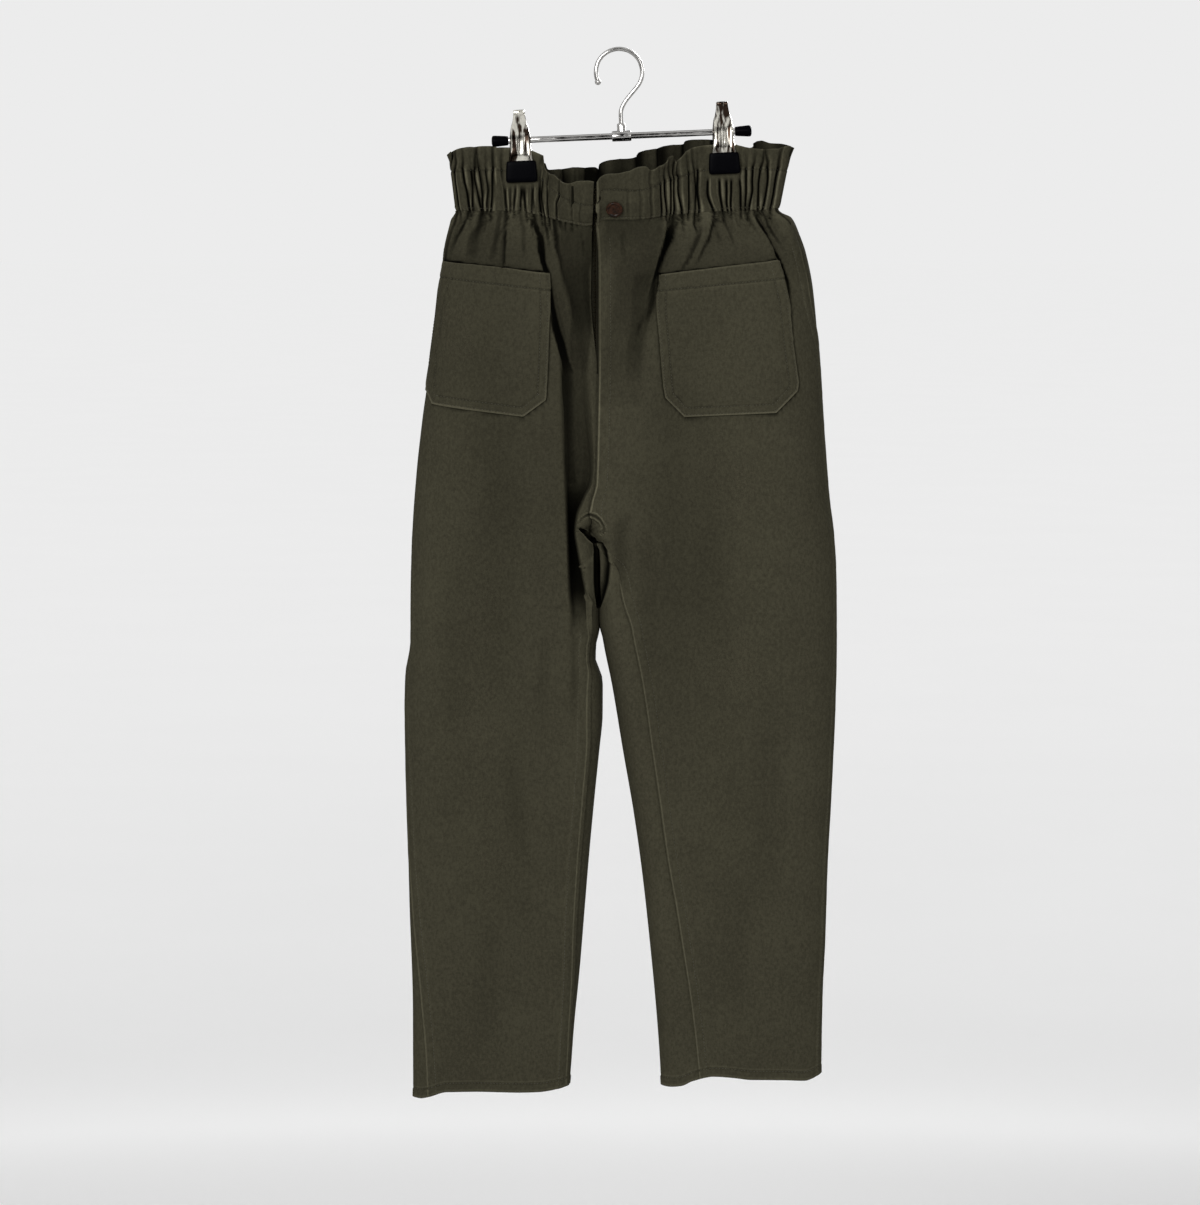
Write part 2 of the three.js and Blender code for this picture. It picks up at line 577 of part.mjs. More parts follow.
// A point of a leg panel. share runs from the centre seam or inseam (0) to the side seam (1) on the
// front, and on from the side seam (1) to the centre seam or inseam (2) on the back.
function legPoint(side, share, z) {
  const { ring, inseam, sideSeam, end } = section(side, z);
  const distance = share <= 1 ? lerp(inseam, sideSeam, share) : lerp(sideSeam, end, share - 1);
  const point = pointAt(ring, distance);
  const across = clamp((point.x - ring.line[0].x) / (ring.line[FACE_POINTS].x - ring.line[0].x), 0, 1);
  const lift = read(HEM_LINE, "across", sideName(side), across);
  point.z += lift * smoothstep(-z, -HEM_Z - 150, -HEM_Z);
  const top = SECTIONS[0].z;
  const blend = 1 - smoothstep(top - z, 0, BLEND_TOP);
  if (blend > 0) {
    const edge = bandPoint(side, share, 0, false);
    edge.z += z - top - SEAM_GAP;
    point.lerp(edge, blend);
  }
  return point;
}

// Shares across a panel of the given cloth length, from one seam to the other with half a gap at each.
function seamShares(columns, length, from, to) {
  const half = (0.5 * SEAM_GAP) / length;
  return Array.from({ length: columns + 1 }, (_, c) => {
    return lerp(from, to, clamp(c / columns, half, 1 - half));
  });
}

// Outward normals of the legs and of the band, and the one that both use where they meet.
const NORMAL_SHARE = 0.004; // steps to each side over which a normal is measured
const NORMAL_HEIGHT = 0.8;
const NORMAL_LEVEL = 0.02;
const legNormal = (side, share, z) => {
  return normalOf((u, v) => legPoint(side, u, v), share, z, side * NORMAL_SHARE, NORMAL_HEIGHT);
};
const bandNormal = (side, share, level) => {
  return normalOf((u, v) => bandPoint(side, u, v), share, level, side * NORMAL_SHARE, NORMAL_LEVEL);
};
const waistNormal = (side, share) => {
  const below = legNormal(side, share, SECTIONS[0].z - 1);
  return below.add(bandNormal(side, share, 0.03)).normalize();
};

function legPanel(side, face) {
  const top = SECTIONS[0].z;
  const rows = [top, ...LEG_ROWS, HEM_Z];
  const columns = face === "front" ? LEG_COLUMNS_FRONT : LEG_COLUMNS_BACK;
  const grid = rows.map((z) => {
    const { inseam, sideSeam, end } = section(side, z);
    const length = face === "front" ? sideSeam - inseam : end - sideSeam;
    const start = face === "front" ? 0 : 1;
    return seamShares(columns, length, start, start + 1).map((share) => ({
      point: legPoint(side, share, z),
      normal: z === top ? waistNormal(side, share) : legNormal(side, share, z),
    }));
  });
  return wall(grid, CLOTH);
}

for (const side of [WEARER_LEFT, WEARER_RIGHT]) {
  for (const face of ["front", "back"]) {
    add("leg_" + face + "_" + sideName(side), legPanel(side, face), TWILL);
  }
}

// ---------------------------------------------------------------------------------------------
// Waistband pieces
// ---------------------------------------------------------------------------------------------

const BAND_LEVELS = [...CASING_ROWS, ...FRILL_ROWS.map((share) => 1 + share)];

const bandCorner = (side, share, level) => ({
  point: bandPoint(side, share, level),
  normal: level === 0 ? waistNormal(side, share) : bandNormal(side, share, level),
});
function bandFront(side) {
  const columns = BAND_COLUMNS[sideName(side)];
  const grid = BAND_LEVELS.map((level) => {
    const shares = seamShares(columns, bandHalf(side, level).front, 0, 1);
    return shares.map((share) => bandCorner(side, share, level));
  });
  return wall(grid, CLOTH);
}
function bandBack() {
  const columns = BAND_COLUMNS.back / 2;
  const grid = BAND_LEVELS.map((level) => {
    const half = (side) => {
      const shares = seamShares(columns, bandHalf(side, level).back, 1, 2);
      return shares.map((share, c) => bandCorner(side, c === columns ? 2 : share, level));
    };
    return [...half(WEARER_LEFT), ...half(WEARER_RIGHT).reverse().slice(1)];
  });
  return wall(grid, CLOTH);
}
add("waistband_front_left", bandFront(WEARER_LEFT), TWILL);
add("waistband_front_right", bandFront(WEARER_RIGHT), TWILL);
add("waistband_back", bandBack(), TWILL);

// ---------------------------------------------------------------------------------------------
// What lies on the panels: pockets, fly shield, button
// ---------------------------------------------------------------------------------------------

// The point and outward normal of a front panel, a distance out from its inner seam along the cloth.
function frontAt(side, distance, z) {
  const { ring, inseam, sideSeam } = section(side, z);
  const length = sideSeam - inseam;
  const share = distance <= length ? distance / length : 1 + (distance - length) / (ring.total - sideSeam);
  return { point: legPoint(side, share, z), normal: legNormal(side, share, z) };
}

// The same on the front of the waistband.
function bandAt(side, distance, level) {
  const share = distance / bandHalf(side, level).front;
  const surface = (u, v) => bandPoint(side, u, v, false);
  return { point: surface(share, level), normal: normalOf(surface, share, level, side * 0.02, 0.1) };
}
const movedOut = ({ point, normal }, by) => ({ point: point.addScaledVector(normal, by), normal });

function pocket(side) {
  const { rows, columns } = POCKET;
  const grid = rows.map((down) => {
    const below = down * POCKET.height;
    const corner = Math.max(0, below - (POCKET.height - POCKET.chamfer));
    const inner = POCKET.from_centre + POCKET.lean * down + corner;
    const width = lerp(POCKET.top_width, POCKET.bottom_width, down) - 2 * corner;
    return Array.from({ length: columns + 1 }, (_, c) => {
      const slope = lerp(POCKET.top_slope, POCKET.bottom_slope, down) * (c / columns - 0.5);
      const place = frontAt(side, inner + (width * c) / columns, POCKET.top_z - below + slope);
      return movedOut(place, CLOTH + SEAM_GAP + FACET_ALLOWANCE);
    });
  });
  return wall(grid, CLOTH);
}
for (const side of [WEARER_LEFT, WEARER_RIGHT]) {
  add("pocket_" + sideName(side), pocket(side), TWILL);
}

// The strip behind the fly: sewn to the wearer's right, it closes the opening from the inside.
function flyShield() {
  const row = (surface, at) => SHIELD.reach.map((distance) => {
    const side = distance < 0 ? WEARER_LEFT : WEARER_RIGHT;
    return movedOut(surface(side, Math.abs(distance), at), -(CLOTH + SEAM_GAP + SHIELD.clearance));
  });
  const inBand = SHIELD.band_levels.map((level) => row(bandAt, level));
  const below = SHIELD.z.map((z) => row(frontAt, z));
  return wall([...inBand, ...below], CLOTH);
}
add("fly_shield", flyShield(), TWILL);

function button() {
  const { radius, thickness, foot, rim, bevel, well } = BUTTON;
  const profile = [
    [0, 0], [radius - foot, 0], [radius, 0.5 * thickness], [radius - bevel, thickness],
    [radius - rim - bevel, thickness], [radius - rim - 2 * bevel, thickness - well], [0, thickness - well],
  ];
  return solid(new THREE.LatheGeometry(profile.map(([r, h]) => new THREE.Vector2(r, h)), FINE_SIDES));
}
{
  const seat = bandAt(WEARER_LEFT, BUTTON.from_centre, BUTTON.level);
  const mesh = add("button", button(), HORN);
  mesh.position.copy(movedOut(seat, 0.5 * CLOTH + SEAM_GAP + FACET_ALLOWANCE).point);
  mesh.quaternion.setFromUnitVectors(V(0, 1, 0), seat.normal);
}

// ---------------------------------------------------------------------------------------------
// Hanger, tilted as one about the hook's rail
// ---------------------------------------------------------------------------------------------

const hanger = new THREE.Group();
hanger.rotation.y = -HANGER_TILT;
trousers.add(hanger);

// A turned piece: profile of [radius, height] pairs about +Y, then laid along +X or stood along +Z.
function turned(profile, sides, axis) {
  const points = profile.map(([r, h]) => new THREE.Vector2(r, h));
  const geometry = new THREE.LatheGeometry(points, sides);
  if (axis === "x") geometry.rotateZ(-Math.PI / 2);
  if (axis === "z") geometry.rotateX(Math.PI / 2);
  return solid(geometry);
}
const tube = (inside, outside, low, high, sides, axis) => {
  const profile = [[inside, low], [outside, low], [outside, high], [inside, high], [inside, low]];
  return turned(profile, sides, axis);
};
const rod = (radius, low, high, sides, axis) => {
  return turned([[0, low], [radius, low], [radius, high], [0, high]], sides, axis);
};

const BORE = BAR_RADIUS + SEAM_GAP;
add("hanger_bar", rod(BAR_RADIUS, -BAR_LENGTH / 2, BAR_LENGTH / 2, SIDES, "x"), CHROME, hanger)
  .position.set(0, 0, -BAR_DROP);

for (const end of [-1, 1]) {
  const { length, radius_inner: slim, radius_outer: wide, end_wall: wallDepth, taper, bevel } = CAP;
  const profile = [
    [0, length - wallDepth], [BORE, length - wallDepth], [BORE, 0], [slim, 0], [wide, length - taper],
    [wide - bevel, length], [0, length],
  ];
  const cap = add("bar_cap_" + (end < 0 ? "right" : "left"), turned(profile, SIDES, "x"), VINYL, hanger);
  cap.position.set(end * (BAR_LENGTH / 2 + wallDepth + SEAM_GAP - length), 0, -BAR_DROP);
  if (end < 0) cap.rotation.z = Math.PI;
}

const stemHole = HOOK.wire + SEAM_GAP;
const hubBody = toManifold(rod(HUB.radius, -HUB.length / 2, HUB.length / 2, FINE_SIDES, "x"))
  .add(toManifold(rod(HUB.neck_radius, 0, HUB.neck_height, SIDES, "z")))
  .subtract(toManifold(rod(BORE, -HUB.length, HUB.length, SIDES, "x")))
  .subtract(toManifold(rod(stemHole, HUB.neck_height - HUB.stem_hole, HUB.neck_height + 1, SIDES, "z")));
add("hanger_hub", fromManifold(hubBody), CHROME, hanger).position.set(0, 0, -BAR_DROP);

// The hook: a straight stem that bends out and sweeps over the rail to a rounded tip.
{
  const radius = HOOK.inside + HOOK.wire;
  const onArc = (degrees) => {
    const angle = THREE.MathUtils.degToRad(degrees);
    return V(radius * Math.cos(angle), 0, -HOOK.inside + radius * Math.sin(angle));
  };
  const foot = -BAR_DROP + HUB.neck_height - HOOK.seat;
  const points = HOOK.stem.map(({ x, up }) => V(x, 0, foot + up));
  const { from, to, step } = HOOK.sweep;
  for (let angle = from; angle <= to; angle += step) points.push(onArc(angle));
  const path = new THREE.CatmullRomCurve3(points, false, "centripetal");
  const round = new THREE.Shape().absarc(0, 0, HOOK.wire, 0, 2 * Math.PI);
  const options = { steps: HOOK.lengths, extrudePath: path, curveSegments: 5, bevelEnabled: false };
  const wire = new THREE.ExtrudeGeometry(round, options);
  const tip = new THREE.SphereGeometry(HOOK.tip_radius, 12, 8);
  tip.translate(...points[points.length - 1].toArray());
  add("hanger_hook", fromManifold(toManifold(wire).add(toManifold(tip))), CHROME, hanger);
}

// One jaw: a crowned sheet on the front, with two ears that the bar passes through.
function jaw(earX) {
  const grid = JAW.map(({ z, width, out, crown }) => {
    return Array.from({ length: JAW_COLUMNS + 1 }, (_, c) => {
      const across = (2 * c) / JAW_COLUMNS - 1;
      return V((across * width) / 2, -out - crown * (1 - across * across), z);
    });
  });
  const ear = (x) => {
    const deep = EAR.reach + EAR.root;
    const plate = new THREE.BoxGeometry(EAR.sheet, deep, EAR.high - EAR.low);
    plate.translate(x, EAR.reach - deep / 2, 0.5 * (EAR.high + EAR.low));
    return toManifold(plate);
  };
  return toManifold(wall(withNormals(grid), JAW_SHEET))
    .add(ear(earX))
    .add(ear(-earX))
    .subtract(toManifold(rod(BORE, -EAR.hole_reach, EAR.hole_reach, SIDES, "x")));
}

// One pad: a dipped vinyl boot with rounded corners, slotted for the jaw's tip.
function pad() {
  const { top, bottom, width, shoulder, thickness, inner, corner } = PAD;
  const w = width / 2;
  const outline = new THREE.Shape();
  outline.moveTo(-w + shoulder, top);
  outline.lineTo(-w, bottom + corner);
  outline.quadraticCurveTo(-w, bottom, -w + corner, bottom);
  outline.lineTo(w - corner, bottom);
  outline.quadraticCurveTo(w, bottom, w, bottom + corner);
  outline.lineTo(w - shoulder, top);
  const settings = { depth: thickness, bevelEnabled: false, curveSegments: 4 };
  const geometry = new THREE.ExtrudeGeometry(outline, settings);
  geometry.rotateX(Math.PI / 2);
  geometry.translate(0, -inner, 0);
  const tip = JAW[JAW.length - 1];
  const tall = 2 * (top - bottom);
  const slotDepth = JAW_SHEET + 2 * SEAM_GAP + PAD.slot_room;
  const slot = new THREE.BoxGeometry(tip.width + 2 * SEAM_GAP, slotDepth, tall);
  slot.translate(0, -tip.out - 0.25 * PAD.slot_room, tip.z - SEAM_GAP + 0.5 * tall);
  return toManifold(geometry).subtract(toManifold(slot));
}

for (const end of [-1, 1]) {
  const clip = new THREE.Group();
  clip.position.set((end * CLIP_SPAN) / 2, 0, -BAR_DROP);
  hanger.add(clip);
  const name = "clip_" + (end < 0 ? "right" : "left");
  const spring = tube(BORE, SPRING.radius, -SPRING.length / 2, SPRING.length / 2, SIDES, "x");
  add(name + "_spring", spring, CHROME, clip);
  for (const face of ["front", "back"]) {
    const turn = face === "front" ? 0 : Math.PI;
    const earX = face === "front" ? EAR.front_x : EAR.back_x;
    add(name + "_" + face + "_jaw", fromManifold(jaw(earX)), CHROME, clip).rotation.z = turn;
    add(name + "_" + face + "_pad", fromManifold(pad()), VINYL, clip).rotation.z = turn;
  }
}

export default trousers;
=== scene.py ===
"""Paperbag-waist twill trousers hanging from a clip hanger.

Lengths in the tables are millimetres in the frame of the CAD part: +Z up, +X to the wearer's left, the front
faces -Y, and the origin is the inside top of the hanger's hook. Meshes are made in metres.
"""

import math

import bpy
import numpy as np
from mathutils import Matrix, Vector


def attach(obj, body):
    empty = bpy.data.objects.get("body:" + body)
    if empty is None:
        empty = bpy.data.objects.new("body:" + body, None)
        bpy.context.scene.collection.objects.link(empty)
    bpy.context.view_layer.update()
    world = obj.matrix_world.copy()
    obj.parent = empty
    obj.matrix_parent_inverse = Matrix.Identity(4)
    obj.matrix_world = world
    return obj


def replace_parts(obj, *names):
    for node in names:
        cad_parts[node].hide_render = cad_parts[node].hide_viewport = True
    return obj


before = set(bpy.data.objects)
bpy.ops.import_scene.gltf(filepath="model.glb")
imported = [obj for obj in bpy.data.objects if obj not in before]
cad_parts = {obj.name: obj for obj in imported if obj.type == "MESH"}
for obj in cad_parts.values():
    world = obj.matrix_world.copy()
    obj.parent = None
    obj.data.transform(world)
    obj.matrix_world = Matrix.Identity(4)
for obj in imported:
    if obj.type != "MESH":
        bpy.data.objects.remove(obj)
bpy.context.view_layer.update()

MM = 0.001
LEFT, RIGHT = 1, -1  # the wearer's left is at +X
CLOTH = 1.1  # thickness of the twill
SIDE_NAME = {LEFT: "left", RIGHT: "right"}
# Puts a half's columns in order towards the wearer's left.
TOWARDS_LEFT = {LEFT: slice(None), RIGHT: slice(None, None, -1)}


# ---------------------------------------------------------------------------------------------
# Small tools
# ---------------------------------------------------------------------------------------------


def named(columns, *rows):
    """A table whose columns are read by name."""
    return dict(zip(columns.split(), np.array(rows, float).T))


def smooth(x, low, high):
    """0 below low, 1 above high, with a soft step between."""
    t = np.clip((x - low) / (high - low), 0.0, 1.0)
    return t * t * (3 - 2 * t)


def curve(xs, ys):
    """A smooth line through points that never overshoots them, flat outside them."""
    order = np.argsort(xs)
    xs, ys = np.asarray(xs, float)[order], np.asarray(ys, float)[order]
    step = np.diff(xs)
    slope = np.diff(ys) / step
    tangent = np.zeros_like(xs)
    tangent[0], tangent[-1] = slope[0], slope[-1]
    before, after = slope[:-1], slope[1:]
    same = before * after > 0
    tangent[1:-1][same] = 2 * before[same] * after[same] / (before[same] + after[same])

    def at(x):
        x = np.clip(np.asarray(x, float), xs[0], xs[-1])
        i = np.clip(np.searchsorted(xs, x) - 1, 0, len(step) - 1)
        t = (x - xs[i]) / step[i]
        h = 3 * t**2 - 2 * t**3
        a = t * (1 - t) ** 2
        b = t**2 * (t - 1)
        return ys[i] + (ys[i + 1] - ys[i]) * h + step[i] * (tangent[i] * a + tangent[i + 1] * b)

    return at


def column(table, key, along="z"):
    return curve(table[along], table[key])


def at_height(table, z):
    """Every other column of a table, read at heights z."""
    return {key: column(table, key)(z) for key in table if key != "z"}


def row_of(table, k):
    return {key: values[k] for key, values in table.items()}


def bell(distance, width):
    """1 where the distance is 0, falling away to both sides over the width."""
    return np.exp(-((distance / width) ** 2))


def running(points):
    """How far along a line of points each of them lies."""
    return np.concatenate([[0], np.cumsum(np.linalg.norm(np.diff(points, axis=0), axis=1))])


def wander(seed, x, pitch):
    """A smooth irregular line between -1 and 1 that changes over about pitch."""
    cell = np.floor(x / pitch)
    t = x / pitch - cell
    t = t * t * (3 - 2 * t)

    def knot(n):
        value = np.sin(n * 127.1 + seed * 311.7) * 43758.5453
        return 2 * (value - np.floor(value)) - 1

    return knot(cell) * (1 - t) + knot(cell + 1) * t


def unit(v):
    return v / np.maximum(np.linalg.norm(v, axis=-1, keepdims=True), 1e-9)


def spread(stops):
    """Values between stops, given as (from, to, step) runs that follow each other."""
    runs = []
    for start, end, step in stops:
        count = max(1, round(abs(end - start) / (step * 1.0)))
        runs.append(np.linspace(start, end, count, endpoint=False))
    return np.concatenate([*runs, [stops[-1][1]]])


# ---------------------------------------------------------------------------------------------
# Legs: outline, depth, seams
# ---------------------------------------------------------------------------------------------

WAIST_Z = -150.0
CROTCH_Z = -452.0
CROTCH_RISE = 26.0
PART_Z = -538.0  # the legs share one line down to here
HEM_Z = -990.0

# The side edges: how far the cloth reaches on each side at a height.
RIGHT_EDGE = named(
    "z x",
    (-147, -151.5), (-154, -156.5), (-167, -160), (-190, -164.5), (-243, -171), (-300, -178.5),
    (-348, -185.5), (-405, -191.5), (-462, -195), (-519, -196), (-559, -196.3), (-589, -201), (-618, -202),
    (-703, -201), (-807, -199), (-911, -196), (-1000, -196),
)
LEFT_EDGE = named(
    "z x",
    (-146, 150.5), (-151, 156.5), (-161, 166), (-172, 171), (-190, 177.5), (-224, 184.3), (-291, 190.3),
    (-367, 195.3), (-424, 200), (-455, 204), (-500, 206.5), (-565, 207), (-618, 206), (-703, 202.5),
    (-773, 199), (-842, 197), (-911, 194.5), (-1000, 193.5),
)
# The line that both legs share down to where they part, and then each leg's own inner edge.
CENTRE = named(
    "z x",
    (-150, -20.5), (-200, -18.5), (-290, -18.5), (-346, -19.3), (-405, -21), (-427, -26), (-434, -26.5),
    (-444, -24.2), (-452, -26.5), (-458, -24.5), (-464, -20), (-474, -18.3), (-510, -18.3), (-538, -17.8),
)
RIGHT_INNER = named(
    "z x",
    (-538, -17.9), (-551, -18.1), (-563, -20.2), (-576, -20.4), (-588, -15.5), (-597, -13.7), (-627, -13.8),
    (-662, -17), (-703, -21.2), (-762, -26.7), (-814, -31), (-876, -36), (-930, -41), (-970, -43.8),
    (-1000, -46),
)
LEFT_INNER = named(
    "z x",
    (-538, -17.6), (-557, -15), (-600, -6.3), (-662, 4), (-721, 14.2), (-773, 21.6), (-825, 27.6),
    (-893, 34.2), (-945, 38.2), (-1000, 41.5),
)
# How far the cloth stands out from the plane of the bar, and how wide its side and inner rolls are.
DEPTH = named(
    "z front back roll_outer roll_inner",
    (-150, 30, 20, 40, 40), (-163, 32, 25, 44, 40), (-180, 35, 29, 50, 36), (-205, 38, 33, 54, 30),
    (-243, 40, 37, 56, 26), (-300, 42, 41, 56, 22), (-405, 41, 41, 54, 18), (-443, 38, 39, 52, 16),
    (-465, 36, 37, 50, 17), (-505, 34, 35, 48, 18), (-540, 32, 33, 48, 19), (-604, 28, 29, 46, 20),
    (-703, 24, 25, 42, 20), (-850, 19, 19, 36, 19), (-1000, 15, 15, 30, 17),
)
# How far the inseam and the side seam lie in from the edges, across the front.
SEAMS = named(
    "z inseam_right inseam_left side_right side_left",
    (-150, 0, 0, 1, 1), (-185, 0, 0, -2, 5), (-230, 0, 0, -4, 4), (-280, 0, 0, -4, 0), (-452, 0, 0, -2, 0),
    (-456, 4, 3, -2, 0), (-462, 12, 5, -1, 0), (-470, 20, 7, -1, 0), (-492, 17, 16.5, 0, 0),
    (-507, 13, 20, 0, 0), (-520, 9, 23, 0, 0), (-542, 9.5, 29, 0, 0), (-576, 9, 30, 0, 0),
    (-600, 14.5, 29.5, 0, 0), (-627, 15, 29, 0, 0), (-662, 12.5, 28, 0, 0), (-752, 10.8, 26, 0.6, 0),
    (-825, 9.5, 29.5, 3.2, 0), (-893, 6.8, 33, 7.4, 0), (-945, 5.3, 34.8, 11.5, 0),
    (-1000, 4.2, 36.5, 13.8, 0),
)
# Height of each hem across the leg, from its inner to its outer edge.
HEM = named(
    "across right left",
    (0, 8, 7), (0.06, 5, 6.5), (0.13, 2.5, 7.5), (0.2, 1, 12), (0.33, 0.5, 16), (0.45, 1, 15),
    (0.57, 1.3, 13), (0.78, 1, 12.8), (0.9, -4, 12), (0.95, -5.5, 14), (1, -5, 18),
)

LOW_STITCH = 8.5  # the hem's stitch row lies this far above the edge


def inner_edge(side, z):
    """The inner edge of a leg: the shared line above, its own edge below."""
    own = column(RIGHT_INNER if side == RIGHT else LEFT_INNER, "x")(z)
    return np.where(z > PART_Z, column(CENTRE, "x")(z), own)


def outer_edge(side, z):
    return column(RIGHT_EDGE if side == RIGHT else LEFT_EDGE, "x")(z)


def openness(z):
    """1 where front and back are whole panels, 0 where each leg closes round itself."""
    below = np.clip((CROTCH_Z + CROTCH_RISE - z) / CROTCH_RISE, 0.0, 1.0)
    return np.sqrt(1 - below**2)


# ---------------------------------------------------------------------------------------------
# Folds of the legs
# ---------------------------------------------------------------------------------------------

# Each fold runs through three places on one face. A valley sinks by depth over width to each side. An edge
# has its high side on its right (+) for EDGE_RIGHT or on its left (-) for EDGE_LEFT, and falls sharply
# to the other side. Left and right are here those of the line seen from the front.
VALLEY, EDGE_LEFT, EDGE_RIGHT = 0, 1, 2
FOLDS_FRONT = named(
    "kind xa za xb zb xc zc depth width",
    # below the gathers on the wearer's right
    (VALLEY, -140, -150, -151, -163, -158, -190, 2.6, 3),
    (VALLEY, -128, -150, -130, -166, -138, -205, 1.8, 5),
    (VALLEY, -118, -150, -121, -170, -126, -195, 1, 5),
    (EDGE_RIGHT, -104, -149, -106, -175, -108, -232, 1.7, 5),
    (VALLEY, -97, -150, -95, -160, -94, -172, 1.1, 3),
    (EDGE_LEFT, -86, -148, -76, -172, -66, -214, 6.5, 4.5),
    (VALLEY, -80, -150, -74, -162, -71, -175, 1.6, 2.6),
    (EDGE_LEFT, -71, -150, -58, -185, -45, -236, 3.2, 6),
    (VALLEY, -60, -158, -57, -166, -53, -180, 0.9, 3),
    (VALLEY, -50, -162, -49, -170, -47, -180, 0.7, 3),
    (VALLEY, -40, -163, -39, -170, -38, -177, 0.5, 3),
    # beside the fly and towards the wearer's left
    (EDGE_LEFT, 49, -150, 40, -195, 20, -285, 9.5, 8),
    (VALLEY, 31, -158, 30, -164, 29, -172, 0.7, 2.5),
    (VALLEY, 62, -150, 58, -157, 55, -166, 1.6, 2.4),
    (VALLEY, 75, -150, 75, -157, 75, -168, 2.2, 2.4),
    (EDGE_LEFT, 91.5, -148, 87, -172, 69, -205, 3.2, 5),
    (VALLEY, 100, -150, 104, -160, 110, -172, 1.6, 4),
    (EDGE_RIGHT, 106, -147, 118, -158, 134, -172, 2, 5.5),
    (VALLEY, 117, -148, 121, -156, 128, -166, 1.2, 3),
    (EDGE_LEFT, 127, -146, 144, -180, 166, -262, 7.5, 6),
    (VALLEY, 135, -148, 146, -162, 158, -185, 1.6, 5),
    (EDGE_LEFT, 149, -150, 163, -163, 173, -192, 2.8, 4),
    # broad, shallow troughs down the legs
    (VALLEY, -104, -330, -112, -470, -118, -650, 1.8, 26),
    (VALLEY, -150, -420, -156, -560, -150, -700, 1.5, 20),
    (VALLEY, -44, -515, -41, -570, -43, -650, 1.8, 4),
    (VALLEY, -69, -530, -70, -580, -72, -650, 0.9, 6),
    (VALLEY, -104, -640, -98, -700, -90, -790, 2.2, 12),
    (VALLEY, -120, -800, -125, -880, -130, -975, 1.4, 16),
    (VALLEY, 92, -345, 90, -460, 98, -640, 1.8, 24),
    (VALLEY, 6, -425, 2, -460, 6, -520, 3, 9),
    (VALLEY, 26, -430, 27, -500, 34, -610, 1.6, 12),
    (VALLEY, 148, -560, 143, -700, 138, -850, 1.6, 22),
    (VALLEY, 112, -760, 112, -850, 116, -960, 1.2, 18),
)
FOLDS_BACK = named(
    "kind xa za xb zb xc zc depth width",
    (VALLEY, -143, -150, -152, -166, -160, -196, 2.4, 3.2),
    (EDGE_RIGHT, -126, -150, -134, -178, -143, -228, 3.6, 5),
    (VALLEY, -113, -150, -116, -168, -121, -196, 1.6, 4),
    (EDGE_LEFT, -96, -150, -90, -185, -78, -262, 5.5, 6),
    (VALLEY, -82, -150, -79, -162, -75, -182, 1.7, 3.2),
    (VALLEY, -66, -150, -63, -166, -58, -196, 1.8, 4),
    (EDGE_LEFT, -49, -150, -45, -180, -38, -236, 3, 5),
    (VALLEY, -33, -150, -32, -161, -31, -176, 1.5, 3),
    (VALLEY, -6, -150, -5, -162, -4, -184, 1.6, 3.2),
    (EDGE_RIGHT, 12, -150, 10, -176, 4, -226, 3.2, 5),
    (VALLEY, 31, -150, 30, -164, 27, -188, 1.7, 3.4),
    (EDGE_RIGHT, 52, -150, 46, -188, 36, -262, 5.2, 6),
    (VALLEY, 70, -150, 69, -162, 66, -186, 1.8, 3.4),
    (VALLEY, 86, -150, 88, -168, 92, -204, 1.9, 4.4),
    (EDGE_LEFT, 104, -150, 112, -182, 124, -246, 4.4, 5.5),
    (VALLEY, 121, -150, 126, -163, 133, -186, 1.7, 3.4),
    (EDGE_LEFT, 138, -150, 150, -172, 164, -228, 4.6, 5),
    (VALLEY, -78, -300, -62, -380, -50, -470, 5.5, 15),
    (VALLEY, 40, -300, 26, -380, 16, -470, 5.5, 15),
    (VALLEY, -58, -470, -66, -560, -84, -690, 2.6, 17),
    (VALLEY, 30, -470, 44, -570, 70, -700, 2.6, 17),
    (VALLEY, -128, -330, -134, -480, -128, -660, 1.8, 22),
    (VALLEY, 126, -340, 136, -480, 134, -660, 1.8, 22),
    (VALLEY, -96, -720, -104, -800, -116, -930, 1.8, 15),
    (VALLEY, 104, -720, 116, -800, 128, -930, 1.8, 15),
)

